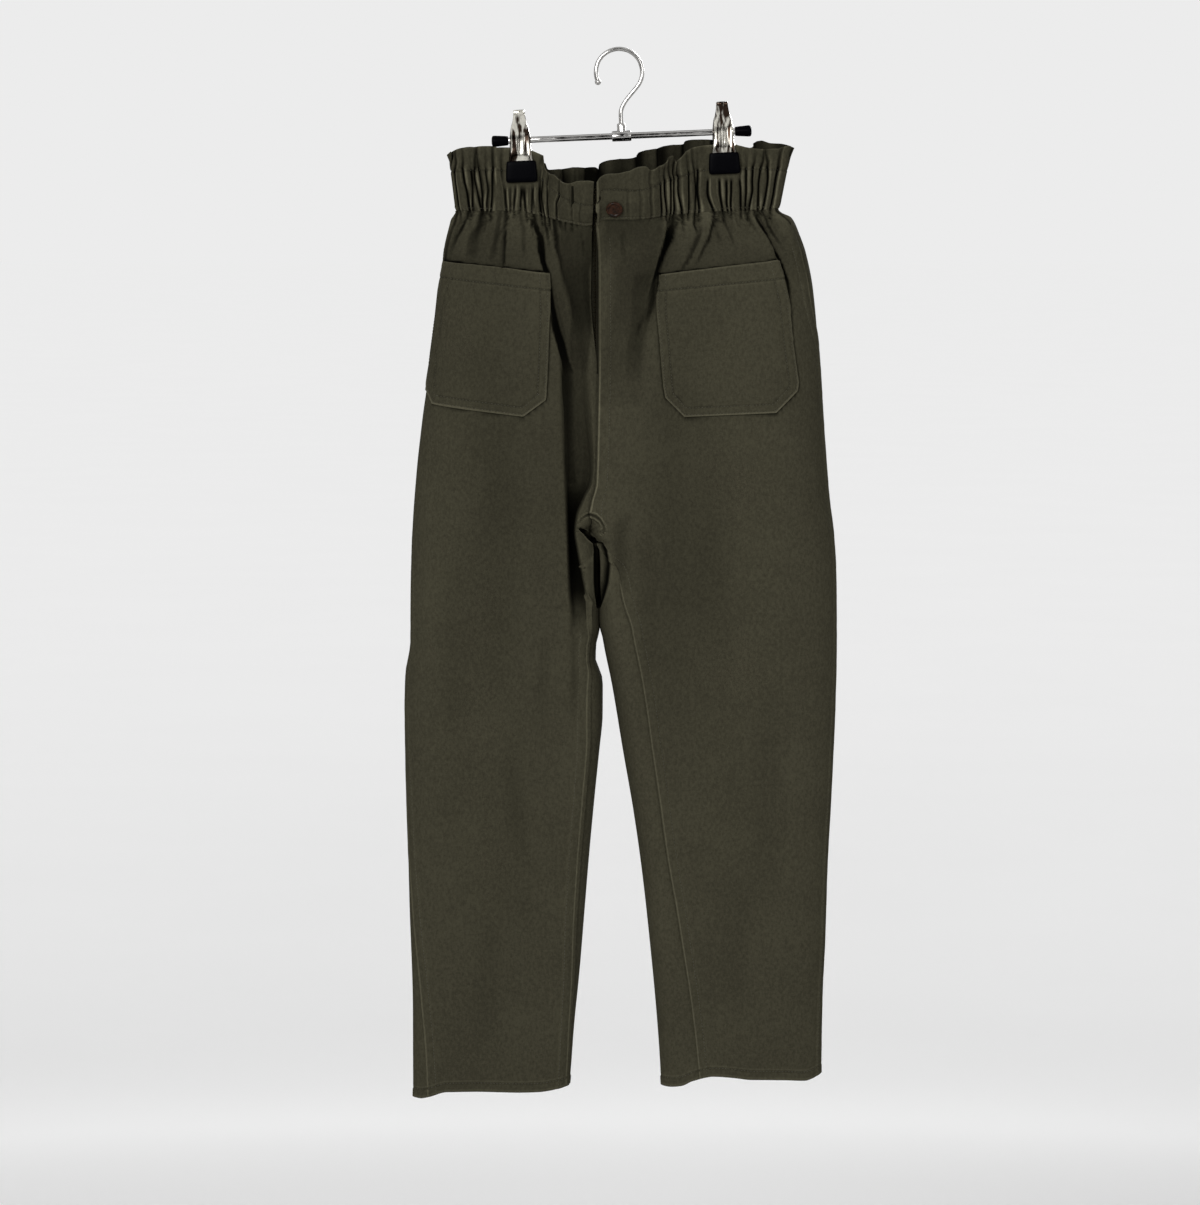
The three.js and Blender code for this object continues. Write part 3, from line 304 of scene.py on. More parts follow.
# Painted shade along the front's folds, drawn as dark lines: how softly each fades towards -X and +X, how
# bright the painted highlight on the cloth beside it is on those sides, and then x, z, half-width and shade
# at places down it.
FRONT_STROKES = (
    # below the gathers on the wearer's right
    ((1, 1.5, 0, 0.3), (-152.5, -150, 0.8, 0.9), (-154.5, -160, 1.2, 0.88), (-157.5, -168, 1.3, 0.62),
     (-162, -185, 1.2, 0.6), (-163.5, -196, 1.2, 0.8)),
    ((1.5, 2.5, 0.25, 0.2), (-141.5, -150, 1.2, 0.95), (-145, -160, 1.6, 0.95), (-148.5, -167, 2.4, 0.9),
     (-154, -175, 2.8, 0.72), (-158, -186, 2.5, 0.45), (-160, -196, 2.5, 0.1)),
    ((1.5, 2.5, 0.2, 0.2), (-127.5, -150, 1.2, 0.9), (-129, -160, 1.5, 0.88), (-132.5, -167, 2.2, 0.8),
     (-136, -175, 3, 0.6), (-138, -186, 3.5, 0.42), (-141, -200, 4, 0.1)),
    ((1, 1, 0.1, 0.1), (-123.5, -150, 1.2, 0.85), (-124.3, -160, 1.2, 0.72), (-126, -167, 1.4, 0.42),
     (-127, -172, 1.4, 0)),
    ((4, 0.7, 0, 0.35), (-104.5, -150, 0.9, 0.9), (-105.5, -160, 1.3, 0.87), (-106.2, -167, 1.8, 0.9),
     (-106.4, -175, 1.6, 0.86), (-106.6, -186, 1.6, 0.78), (-107, -196, 1.4, 0.82), (-108, -204, 1.2, 0.7)),
    ((3, 2, 0, 0), (-111, -152, 1.8, 0.6), (-113.5, -167, 2.5, 0.66), (-114.5, -175, 2.5, 0.66),
     (-117, -186, 2.5, 0.6), (-119, -198, 3, 0.2)),
    ((2, 2, 0, 0.1), (-93, -150, 1.5, 0.6), (-91, -160, 2, 0.48), (-89, -172, 2.5, 0.3), (-89, -186, 2, 0.4),
     (-88, -196, 2, 0)),
    # the long edge that turns into the trough, and the second one beside it
    ((0.8, 1.2, 0.4, 0.2), (-80.5, -150, 1.3, 0.95), (-79, -160, 1.3, 0.98), (-77, -167, 1.6, 0.98),
     (-73.5, -175, 2.2, 0.95), (-72.5, -186, 3.2, 0.9), (-71, -195, 2.5, 0.98), (-67.3, -207, 2.6, 1),
     (-64.3, -220, 1.5, 1), (-61.4, -240, 2, 1), (-58, -260, 3.4, 1), (-53.5, -275, 3.6, 0.99),
     (-49.5, -290, 3, 0.95), (-46, -303, 4, 0.8)),
    ((1.2, 1.2, 0.3, 0.3), (-71.5, -150, 1.2, 0.95), (-70, -160, 1.4, 0.95), (-68, -167, 2, 0.88),
     (-66.3, -175, 2, 0.62), (-65, -184, 2, 0.2)),
    ((0.8, 0.8, 0.2, 0.2), (-67, -152, 1, 0.95), (-66, -160, 1.1, 0.92), (-65, -166, 1.1, 0.5),
     (-64, -170, 1, 0)),
    ((1.5, 6, 0.25, 0), (-61.5, -156, 1.4, 0.9), (-61, -167, 2.2, 0.92), (-59, -175, 2.6, 0.88),
     (-57.5, -185, 2.6, 0.8), (-54, -195, 2.4, 0.7), (-51, -208, 3, 0.68), (-47, -220, 3, 0.76),
     (-43, -240, 3, 0.83), (-40, -258, 3, 0.7), (-36, -280, 3, 0.3)),
    ((2, 3, 0, 0), (-56, -155, 1.5, 0.75), (-55, -163, 2.5, 0.7), (-52, -170, 2.5, 0.4), (-50, -178, 2, 0)),
    ((1, 1, 0.2, 0.1), (-49.5, -158, 1.1, 0.85), (-50.5, -167, 1.4, 0.72), (-51, -174, 1.3, 0.2)),
    ((1, 1.5, 0.1, 0.1), (-44.5, -160, 1.1, 0.7), (-44, -167, 1.8, 0.8), (-43, -173, 1.8, 0.4),
     (-42, -180, 1.5, 0)),
    ((1, 1, 0.1, 0.1), (-39.5, -160, 1.2, 0.7), (-38.3, -167, 1.8, 0.5), (-37.5, -172, 1.5, 0)),
    ((5, 3, 0, 0), (-38, -163, 14, 0.35), (-38, -172, 15, 0.52), (-38, -182, 15, 0.56), (-39, -195, 14, 0.6),
     (-40, -207, 12, 0.7), (-38, -220, 10, 0.72), (-35, -240, 8, 0.76), (-34, -255, 8, 0.72),
     (-36, -275, 8, 0.52), (-37, -290, 7, 0.45), (-38, -305, 5, 0.3)),
    ((1.5, 1.5, 0, 0), (-35, -172, 1.2, 0.6), (-33.5, -182, 1.6, 0.8), (-33, -192, 1.2, 0.7)),
    # the fly's flap lies in the shade of the band
    ((6, 5, 0, 0), (14, -148, 24, 0.4), (14, -165, 24, 0.44), (13, -182, 24, 0.32), (13, -200, 22, 0.12)),
    ((0.6, 6, 0, 0), (-50, -294, 2, 0.4), (-48.5, -305, 4, 0.78), (-48, -320, 4, 0.74),
     (-47, -340, 3.4, 0.72), (-46.6, -360, 3.4, 0.7), (-46.4, -380, 3.4, 0.68), (-45.5, -395, 3.8, 0.7),
     (-44, -406, 4, 0.75)),
    # the wedge beside the fly on the wearer's left, and the cloth that falls back towards the fly
    ((0.8, 2, 0.2, 0.3), (53.5, -152, 1, 0.85), (53, -160, 1.6, 0.9), (51, -167, 3, 0.98),
     (48.5, -175, 3.4, 1), (44.7, -183, 2.2, 1), (41, -192, 1.5, 1), (38, -201, 1.2, 0.99),
     (34.6, -211, 1, 0.97), (32, -222, 1.6, 0.85), (30, -240, 2.6, 0.6), (23, -252, 2, 0.66),
     (19.3, -260, 1.6, 0.8), (15, -275, 1.3, 0.4)),
    ((6, 6, 0, 0), (30, -200, 4, 0.2), (24, -212, 6, 0.6), (21, -225, 6, 0.56), (20, -240, 5, 0.5),
     (18, -255, 4, 0.45), (15, -280, 5, 0.48), (14, -300, 5, 0.32), (12, -315, 5, 0.1)),
    ((12, 12, 0, 0), (20, -168, 12, 0.15), (20, -190, 14, 0.32), (16, -210, 14, 0.36), (12, -240, 10, 0.34),
     (4, -270, 12, 0.26), (2, -300, 12, 0.2), (0, -330, 14, 0.1)),
    ((2.5, 2.5, 0, 0), (5, -160, 2, 0.4), (4, -175, 3, 0.58), (4.5, -187, 3, 0.5), (6, -200, 3, 0.3)),
    ((1, 1, 0.2, 0.2), (59, -151, 1, 0.9), (57, -160, 1.3, 0.87), (55.5, -166, 1.3, 0.6), (54, -170, 1, 0)),
    ((1, 1, 0.2, 0.2), (62.5, -152, 1.1, 0.85), (63, -160, 1.2, 0.78), (62.5, -167, 1.2, 0.3),
     (62, -171, 1, 0)),
    ((1, 1, 0.3, 0.3), (73.5, -151, 1.2, 0.95), (73, -160, 1.7, 0.95), (73.8, -167, 1.8, 0.74),
     (74, -172, 1.5, 0.3)),
    # the ridge that runs down to the left pocket's mouth, between two dark sides
    ((2.5, 1, 0, 0.35), (78, -166, 1.5, 0.3), (75.5, -175, 3, 0.66), (71, -185, 2.8, 0.68),
     (66.3, -195, 2.2, 0.7), (61, -203, 2, 0.6)),
    ((0.8, 1.5, 0.4, 0), (91.5, -150, 1.2, 0.95), (90, -160, 1.4, 0.95), (88, -167, 1.4, 0.86),
     (85.8, -175, 1.9, 0.78), (80.3, -185, 1.5, 0.62), (76, -195, 1.8, 0.45), (72, -203, 1.5, 0.2)),
    ((1, 1.5, 0.2, 0.3), (95.5, -152, 1.2, 0.85), (94, -160, 2, 0.77), (95, -167, 1.6, 0.6),
     (95.5, -175, 2.2, 0.42), (97, -184, 2, 0)),
    ((1, 1, 0.3, 0.2), (100.5, -151, 1.2, 0.9), (101.5, -160, 1.4, 0.65), (104, -167, 1.8, 0.42),
     (107, -176, 2, 0.42), (110, -186, 2, 0.1)),
    ((1, 1, 0.1, 0.1), (110, -152, 1.2, 0.8), (112, -160, 1.6, 0.45), (116, -168, 1.5, 0)),
    ((1, 1, 0.2, 0.2), (119.5, -151, 1.3, 0.9), (124, -160, 1.6, 0.58), (129, -168, 1.5, 0.25),
     (133, -176, 1.5, 0)),
    ((0.6, 1, 0.1, 0.5), (127.5, -150, 1.4, 0.97), (132, -160, 1.9, 1), (136, -167, 2.3, 1),
     (141, -175, 2.1, 1), (147, -185, 1.8, 0.98), (153, -195, 1.5, 0.99), (157.3, -207, 1.5, 0.99),
     (161, -220, 2, 0.9), (161.8, -240, 1.8, 0.6), (163, -260, 1.4, 0.7), (165, -285, 1.4, 0.4),
     (167, -300, 1, 0.1)),
    ((1, 1.5, 0.3, 0.2), (136, -150, 1.3, 0.95), (140, -160, 1.8, 0.92), (144, -167, 2.2, 0.82),
     (150, -175, 2, 0.5), (156, -186, 2, 0.1)),
    ((0.8, 1, 0, 0.2), (150, -150, 1.1, 0.9), (156, -155, 1.3, 0.9), (161.5, -160, 1.4, 0.8),
     (166, -166, 1.4, 0.7), (171, -173, 1.4, 0.6), (177, -190, 1.2, 0.45), (182, -210, 1.2, 0.2)),
)
STROKE_SINK = 0.9  # how deep the cloth sinks along a stroke
THIN_STROKE, BROAD_STROKE = 3.3, 4.5  # half-widths up to which a stroke is drawn finer, and sinks at all

# The deep trough between the wearer's right thigh and the centre front: its edges, and how softly each falls.
TROUGH = named(
    "z x_left x_right depth soft_left soft_right shade",
    (-180, -68, -50, 0, 10, 18, 0.1), (-205, -66, -46, 4, 9, 20, 0.2), (-237, -61, -40, 9, 9, 20, 0.25),
    (-281, -53, -33, 13, 10, 16, 0.3), (-324, -51.5, -30, 16, 11, 12, 0.35),
    (-357, -50.5, -27.5, 18, 9, 9, 0.4), (-390, -49.8, -25, 20, 6.5, 6, 0.42),
    (-405, -49.4, -26, 21, 5, 4.5, 0.6), (-420, -49, -32.5, 21, 4, 4, 0.88),
    (-438, -48.5, -39.5, 21, 3.6, 3.4, 0.98), (-452, -48, -41, 21, 3.4, 3.2, 0.98),
    (-470, -47.5, -38.5, 21, 3.4, 3.4, 0.98), (-507, -46, -31.5, 18, 4.5, 4, 0.95),
    (-528, -44, -29, 10, 7, 7, 0.5), (-552, -42, -27, 0, 9, 9, 0.1),
)
NARROW_FOLD = 12  # folds narrower than this are creases, and wider ones are shallow troughs
FOLD_DEPTH = 1.5  # the table's depths of creases are multiplied by this
FRONT_SHADE = 0.3  # the front's creases get most of their shade from the strokes instead
# painted shade in the broad, shallow troughs, by their depth
TROUGH_SHADE = 0.06
# The upper end of the slit beside the tongue of cloth at the crotch.
POUCH_SLIT = named("z x", (-449, -35.5), (-452, -31), (-455, -27), (-459, -23.5))


def fold_profile(kind, r, width):
    """Height of a fold's section at a signed distance r from its line."""
    if kind == VALLEY:
        return -np.exp(-((np.abs(r) / width) ** 1.5))
    if kind == EDGE_RIGHT:
        r = -r
    high = 0.45 * np.exp(-np.maximum(-r, 0) / (1.8 * width))
    low = -0.55 * np.exp(-np.maximum(r, 0) / (1.3 * width))
    side = 0.5 + 0.5 * np.tanh(r / (0.16 * width))
    return high * (1 - side) + low * side


def fold_tone(kind, r, width):
    """Painted tone across a fold: painted shade on its low side, a faint painted highlight on its high one.
    """
    if kind == VALLEY:
        return -bell(r, 0.8 * width)
    if kind == EDGE_RIGHT:
        r = -r
    side = 0.5 + 0.5 * np.tanh(r / (0.16 * width))
    high = 0.28 * bell(r + 0.45 * width, 0.3 * width)
    return high * (1 - side) - side * (0.55 * np.exp(-np.maximum(r, 0) / (0.35 * width))
                                       + 0.45 * np.exp(-np.maximum(r, 0) / (1.3 * width)))


def beside(line, x, z):
    """Distance across the cloth from a line down it, positive towards the wearer's left."""
    slope = (line(z + 2) - line(z - 2)) / 4
    return (x - line(z)) / np.sqrt(1 + slope**2)


def fold_height(folds, x, z):
    """Sum of the folds of one face, positive outwards, and their painted shade and highlights."""
    total = np.zeros(np.broadcast(x, z).shape)
    tone = np.zeros(total.shape)
    for k in range(len(folds["depth"])):
        f = row_of(folds, k)
        zs, xs = [f["zc"], f["zb"], f["za"]], [f["xc"], f["xb"], f["xa"]]
        length = f["za"] - f["zc"]
        r = beside(curve(zs, xs), x, z)
        start = smooth(z, f["zc"], f["zc"] + 0.4 * length)
        end = 1 - smooth(z, f["za"] + 2, f["za"] + 12)
        if f["za"] < -250:
            end = 1 - smooth(z, f["za"] - 0.3 * length, f["za"])
        narrow = f["width"] < NARROW_FOLD
        gain = FOLD_DEPTH if narrow else 1.0
        total = total + gain * f["depth"] * start * end * fold_profile(f["kind"], r, f["width"])
        strength = f["depth"] / (2.6 if f["kind"] == VALLEY else 4.6)
        shade = np.clip(strength, 0, 1) if narrow else TROUGH_SHADE * f["depth"]
        if folds is FOLDS_FRONT and narrow:
            shade = FRONT_SHADE * shade
        tone = tone + shade * start * end * fold_tone(f["kind"], r, f["width"])
    return total, np.clip(tone, -0.97, 0.5)


# Where the front's broad hollows lie in shade: x, z, how far it reaches across and down, and how dark it is.
BROAD_SHADES = (
    (-118, -330, 42, 190, 0.2),
    (-60, -420, 26, 150, 0.16),
    (50, -400, 34, 170, 0.22),
    (-110, -740, 60, 200, 0.08),
    (60, -560, 40, 120, 0.1),
)
LEG_SHADE = -0.02


def broad_shade(x, z):
    """Slow painted shade over the fronts and their pockets."""
    total = np.full(np.shape(x), LEG_SHADE)
    for at_x, at_z, across, down, shade in BROAD_SHADES:
        total = total - shade * bell(x - at_x, across) * bell(z - at_z, down)
    return total


def stroke_relief(strokes, x, z):
    """Height, painted shade and painted highlights of dark lines that run down the cloth."""
    height, dark, pale = np.zeros(x.shape), np.zeros(x.shape), np.zeros(x.shape)
    for (soft_left, soft_right, rim_left, rim_right), *places in strokes:
        xs, zs, halves, shades = np.array(places, float).T
        r = beside(curve(zs, xs), x, z)
        half, shade = np.interp(z, zs[::-1], halves[::-1]), np.interp(z, zs[::-1], shades[::-1])
        shown = smooth(z, zs[-1] - 5, zs[-1]) * (1 - smooth(z, zs[0] + 1, zs[0] + 3))
        soft = np.where(r < 0, soft_left, soft_right)
        if halves.max() < THIN_STROKE:
            half, soft = np.maximum(0.55 * half, 0.7), np.maximum(0.6 * soft, 0.6)
        past = np.abs(r) - half
        profile = np.exp(-((np.maximum(past, 0) / soft) ** 1.4)) * smooth(-past, -2.2 * soft, 0.3)
        # painted shade along the line, and a painted highlight on the cloth beside it
        dark = np.minimum(dark, -shade * shown * profile)
        rim = np.where(r < 0, rim_left, rim_right)
        pale = np.maximum(pale, rim * shade * shown * bell(past - soft - 1.0, 0.9))
        if halves.max() < BROAD_STROKE:
            height = height - STROKE_SINK * shade * shown * profile
    return height, np.where(dark < -0.12, dark, dark + pale)


def at_trough(z):
    return (z < TROUGH["z"][0]) & (z > TROUGH["z"][-1])


def trough_tone(x, z):
    """Painted shade on the trough's floor and walls, below 0."""
    dark, left, right = (column(TROUGH, key)(z) for key in ("shade", "x_left", "x_right"))
    soft = np.interp(z, [-420, -330, -200], [1.2, 7.0, 9.0])
    inside = smooth(x, left - 0.6, left + 1.8) * (1 - smooth(x, right - soft, right + 0.6 * soft))
    return np.where(at_trough(z), -dark * inside, 0.0)


def trough_depth(x, z):
    t = at_height(TROUGH, z)
    inside = smooth(x, t["x_left"] - 0.35 * t["soft_left"], t["x_left"] + 0.65 * t["soft_left"])
    outside = smooth(x, t["x_right"] - 0.5 * t["soft_right"], t["x_right"] + 0.5 * t["soft_right"])
    return np.where(at_trough(z), t["depth"] * inside * (1 - outside), 0.0)


def leg_ring(side, z, samples):
    """Rings round a leg, one per height, as x, y and the running length.

    Each starts at the inner edge, goes along the front to the side edge and home along the back, and then
    runs on a little way along the front again.
    """
    z = np.asarray(z, float)[:, None]
    opened = openness(z)
    apart = 0.15 + (1 - opened) * (1.5 * smooth(-z, 543, 556) - 1.0)
    inner = inner_edge(side, z) + side * apart
    outer = outer_edge(side, z)
    width = np.abs(outer - inner)
    t = (0.5 - 0.5 * np.cos(np.pi * np.linspace(0, 1, samples + 1)))[None, :] ** 0.92
    x = inner + (outer - inner) * t
    shape = at_height(DEPTH, z)
    inner_start = 1 - np.sqrt(1 - opened**2)

    def quarter(v):
        return np.sqrt(1 - (1 - np.clip(v, 0, 1)) ** 2)

    outer_share = quarter((1 - t) * width / shape["roll_outer"])
    inner_share = quarter(inner_start + t * width / shape["roll_inner"])
    dip = smooth(z, CROTCH_Z - 6, CROTCH_Z + 34) * bell(x + 18, 34)
    front_pushed = 11 * dip
    back_pushed = 5 * dip
    if side == RIGHT:
        front_pushed = front_pushed + trough_depth(x, z)
        slit = bell(x - column(POUCH_SLIT, "x")(z), 2.2)
        front_pushed = front_pushed + 7 * slit * smooth(z, -460, -456) * (1 - smooth(z, -450, -447))
    front = -outer_share * inner_share * (shape["front"] - front_pushed)
    back = outer_share * inner_share * (shape["back"] - back_pushed)
    x_all = np.concatenate([x, x[:, -2::-1], x[:, 1 : samples // 2]], axis=1)
    y_all = np.concatenate([front, back[:, -2::-1], front[:, 1 : samples // 2]], axis=1)
    gap = np.hypot(np.diff(x_all, axis=1), np.diff(y_all, axis=1))
    run = np.concatenate([np.zeros((len(z), 1)), np.cumsum(gap, axis=1)], axis=1)
    return x_all, y_all, run


# ---------------------------------------------------------------------------------------------
# Waistband: outline rings
# ---------------------------------------------------------------------------------------------

# Lower edge, stitch row and frill edge of the band: x (the frill has its own), height and depth of each line.
BAND_FRONT = named(
    "x x_top z_low z_stitch y_low y_stitch y_top",
    (-152, -161, -150, -113, 0, 0, 0), (-149, -157, -150, -113, -6, -5, -5),
    (-130, -134, -150, -112, -11, -8, -9), (-110, -110, -150, -112, -9, -3.4, -4),
    (-92, -92, -150, -113, -8.5, -3.2, -3.6), (-74, -74, -154, -120, -11, -5, -6),
    (-50, -50, -161, -139, -23, -28, -32), (-21, -21, -164, -144, -34, -42, -47),
    (-17, -17, -159.5, -132, -34, -42, -47), (20, 20, -158.5, -131, -33, -40, -45),
    (45, 45, -155, -123, -24, -28, -32), (81, 81, -151, -112, -10, -3.6, -4),
    (99, 99, -150, -111, -8.5, -3.2, -3.6), (117, 118, -149, -111, -9, -3.6, -4),
    (134, 141, -149, -111, -11, -8, -9), (149, 162, -148, -112, -6, -6, -6), (151, 165, -148, -112, 0, 0, 0),
)
BAND_BACK = named(
    "x x_top z_low z_stitch y_low y_stitch y_top",
    (-152, -161, -150, -113, 0, 0, 0), (-149, -157, -150, -113, 6, 5, 5), (-130, -134, -150, -113, 10, 7, 8),
    (-110, -110, -150, -113, 8, 3.2, 3.6), (-92, -92, -151, -114, 8, 3.2, 3.6),
    (-74, -74, -153, -121, 9, 5, 6), (-50, -50, -155, -128, 14, 11, 13), (-20, -20, -156, -127, 20, 16, 19),
    (20, 20, -154, -119, 20, 16, 19), (54, 54, -152, -113, 14, 11, 13), (81, 81, -151, -110, 9, 3.6, 4),
    (99, 99, -150, -110, 8, 3.2, 3.6), (117, 118, -149, -110, 8, 3.6, 4), (134, 141, -149, -111, 10, 7, 8),
    (149, 162, -148, -112, 6, 6, 6), (151, 165, -148, -112, 0, 0, 0),
)
# The frill's top edge, front and back.
TOP_FRONT = named(
    "x z",
    (-161, -97.5), (-157, -94), (-147, -91), (-133.5, -90.3), (-131, -89.6), (-119, -89.3), (-110, -91.4),
    (-97, -91), (-84, -92.9), (-75, -96.5), (-71.5, -100), (-69.6, -112), (-66, -115), (-60, -116.5),
    (-56, -121.5), (-46, -124.8), (-40, -122.6), (-30, -122.2), (-21, -124), (-19, -121), (-15.5, -118),
    (-9.5, -115.8), (-1, -115.6), (10, -113.2), (16, -110), (26, -108.4), (30.5, -112.4), (39, -108.2),
    (46, -105.6), (50, -99.5), (54, -98.6), (57, -107), (60, -101.5), (67.5, -93), (75, -89.8), (85, -88.4),
    (99, -88), (112, -88.4), (120, -90.3), (126, -91.3), (136, -92.4), (139, -92.6), (145, -91.8),
    (152, -92), (156, -90.4), (163, -89.4), (165, -90.5),
)
TOP_BACK = named(
    "x z",
    (-161, -97.5), (-155, -93.5), (-140, -90), (-125, -92), (-110, -90.5), (-92, -91), (-80, -94),
    (-72, -104), (-67, -112), (-57, -111.3), (-40, -109.6), (-24, -109.3), (-19.5, -111), (-17, -105.6),
    (-10, -103), (2, -101.9), (15, -100.2), (19, -95.4), (28, -93.1), (38, -91), (49, -88.5), (59, -87.6),
    (63, -84.4), (73, -83.2), (84, -83.1), (99, -84.6), (112, -88), (122, -91), (127, -90.6), (129.5, -86),
    (134, -84), (144, -86.6), (154, -87), (161, -88.6), (165, -90.5),
)
CENTRE_X = float(column(CENTRE, "x")(WAIST_Z))
LOOP_STEPS = 12  # points between two places of a loop
SIDE_FOLD = 6.5  # at the frill's edge the side seam sits this far round on the front, on the wearer's right


def through(points):
    """Catmull-Rom line through points (centripetal), closed, as a dense polyline."""
    p = np.asarray(points, float)
    n = len(p)
    out = []
    for i in range(n):
        p0, p1, p2, p3 = p[i - 1], p[i], p[(i + 1) % n], p[(i + 2) % n]
        t1 = np.sqrt(np.linalg.norm(p1 - p0))
        t2 = t1 + np.sqrt(np.linalg.norm(p2 - p1))
        t3 = t2 + np.sqrt(np.linalg.norm(p3 - p2))
        for t in np.linspace(t1, t2, LOOP_STEPS, endpoint=False):
            a1 = (t1 - t) / t1 * p0 + t / t1 * p1
            a2 = (t2 - t) / (t2 - t1) * p1 + (t - t1) / (t2 - t1) * p2
            a3 = (t3 - t) / (t3 - t2) * p2 + (t - t2) / (t3 - t2) * p3
            b1 = (t2 - t) / t2 * a1 + t / t2 * a2
            b2 = (t3 - t) / (t3 - t1) * a2 + (t - t1) / (t3 - t1) * a3
            out.append((t2 - t) / (t2 - t1) * b1 + (t - t1) / (t2 - t1) * b2)
    return np.array(out)


def band_ring(level):
    """The band's ring at a level: 0 at its lower edge, 1 at the upper stitch row, 2 at the frill's edge."""
    frill, casing = np.clip(level - 1, 0, 1), np.clip(level, 0, 1)
    pinched = np.clip(casing / 0.6, 0, 1)
    points = []
    for table, top in ((BAND_FRONT, TOP_FRONT), (BAND_BACK, TOP_BACK)):
        x = table["x"] + (table["x_top"] - table["x"]) * level / 2
        y = table["y_low"] + (table["y_stitch"] - table["y_low"]) * pinched
        y = y + (table["y_top"] - table["y_stitch"]) * frill
        z = table["z_low"] + (table["z_stitch"] - table["z_low"]) * casing
        ring = np.stack([x, y, z], axis=-1)
        points.append(ring if table is BAND_FRONT else ring[::-1])
    loop = through(np.concatenate([points[0], points[1][1:-1]]))
    if frill > 0:
        front_top, back_top = (column(table, "z", "x")(loop[:, 0]) for table in (TOP_FRONT, TOP_BACK))
        top = np.where(loop[:, 1] > 0, back_top, front_top)
        loop[:, 2] += (top - loop[:, 2]) * frill
    loop = np.concatenate([loop, loop[:1]])
    run = running(loop)
    return loop, run


class BandHalf:
    """Half of the band's ring on one side, read by share: 0 centre front, 1 side seam, 2 centre back."""

    def __init__(self, side, level):
        self.side = side
        loop, run = band_ring(level)
        self.loop, self.run, self.total = loop, run, run[-1]
        distance = np.abs(loop[:-1, 0] - CENTRE_X)
        front = np.argmin(np.where(loop[:-1, 1] < 0, distance, np.inf))
        back = np.argmin(np.where(loop[:-1, 1] > 0, distance, np.inf))
        edge = np.argmin(-side * loop[:-1, 0])
        self.start = run[front]
        self.front = self.along(run[front], run[edge])
        if side == RIGHT:
            self.front -= SIDE_FOLD * float(smooth(level, 1.0, 2.0))
        self.back = self.along(run[front], run[back]) - self.front

    def along(self, a, b):
        return (b - a) % self.total if self.side > 0 else (a - b) % self.total

    def at(self, share):
        share = np.asarray(share, float)
        distance = np.where(share <= 1, share * self.front, self.front + (share - 1) * self.back)
        d = (self.start + self.side * distance) % self.total
        return np.stack([np.interp(d, self.run, self.loop[:, k]) for k in range(3)], axis=-1)

    def places(self, xs, face):
        """The shares at which the ring has each x, on one face."""
        shares = np.linspace(0, 1, 600) + (0 if face == "front" else 1)
        x = self.side * self.at(shares)[:, 0]
        if face == "back":
            shares, x = shares[::-1], x[::-1]
        x = np.maximum.accumulate(x) + 1e-6 * np.arange(len(x))
        return np.interp(self.side * np.asarray(xs), x, shares)


# Heights over which the band's depth and width pass into those of the hips.
BLEND_DEPTH, BLEND_WIDTH = 62.0, 8.0
SEAM_SLOPE = 1.25  # how fast an inseam comes forward from the crotch point as it runs down
LEG_SAMPLES = 420  # points across one face of a leg's ring


class Leg:
    """A leg's surface, read by height and share: 0 centre front or inseam, 1 side seam, 2 centre back."""

    def __init__(self, side, zs):
        self.side = side
        self.z = zs
        self.x, self.y, self.run = leg_ring(side, zs, LEG_SAMPLES)
        inner = inner_edge(side, zs)
        outer = outer_edge(side, zs)
        inseam_in = column(SEAMS, "inseam_" + SIDE_NAME[side])(zs)
        side_in = column(SEAMS, "side_" + SIDE_NAME[side])(zs)
        opened = openness(zs)
        self.inseam = np.zeros(len(zs))
        self.seam = np.zeros(len(zs))
        self.end = np.zeros(len(zs))
        for i in range(len(zs)):
            half = slice(0, LEG_SAMPLES + 1)
            x, run = side * self.x[i, half], self.run[i, half]
            self.inseam[i] = np.interp(side * inner[i] + inseam_in[i], x, run) if inseam_in[i] > 0 else 0.0
            across = side * outer[i] - abs(side_in[i])
            at = np.interp(across, x, run)
            self.seam[i] = at if side_in[i] >= 0 else 2 * run[-1] - at
            whole = self.run[i, 2 * LEG_SAMPLES]
            self.end[i] = whole + (self.inseam[i] if opened[i] <= 0 else 0.0)
        gentle = np.maximum(0.0, CROTCH_Z - zs) * SEAM_SLOPE
        late = self.inseam > gentle
        self.end = np.where(late & (opened <= 0), self.end - self.inseam + gentle, self.end)
        self.inseam = np.where(late, gentle, self.inseam)
        self.inner, self.outer = inner, outer
        self.edge = BandHalf(side, 0.0)

    def grid(self, shares):
        """Points for shares given for every height (rows) and column."""
        p = np.zeros(shares.shape + (3,))
        for i in range(len(self.z)):
            s, near, far, end = shares[i], self.inseam[i], self.seam[i], self.end[i]
            d = np.where(s <= 1, near + s * (far - near), far + (s - 1) * (end - far))
            p[i, :, 0] = np.interp(d, self.run[i], self.x[i])
            p[i, :, 1] = np.interp(d, self.run[i], self.y[i])
        p[:, :, 2] = self.z[:, None]
        across = np.clip((p[:, :, 0] - self.inner[:, None]) / (self.outer - self.inner)[:, None], 0, 1)
        lift = column(HEM, SIDE_NAME[self.side], "across")(across)
        p[:, :, 2] += lift * smooth(-self.z, -HEM_Z - 150, -HEM_Z)[:, None]
        below = (WAIST_Z - self.z)[:, None]
        edge = self.edge.at(shares)
        edge[:, :, 2] -= below + 0.2
        deep = 1 - smooth(below, 0, BLEND_DEPTH)
        wide = 1 - smooth(below, 0, BLEND_WIDTH)
        p[:, :, 0] += (edge[:, :, 0] - p[:, :, 0]) * wide
        p[:, :, 1] += (edge[:, :, 1] - p[:, :, 1]) * deep
        p[:, :, 2] += (edge[:, :, 2] - p[:, :, 2]) * deep
        return p


# ---------------------------------------------------------------------------------------------
# Gathers of the waistband
# ---------------------------------------------------------------------------------------------

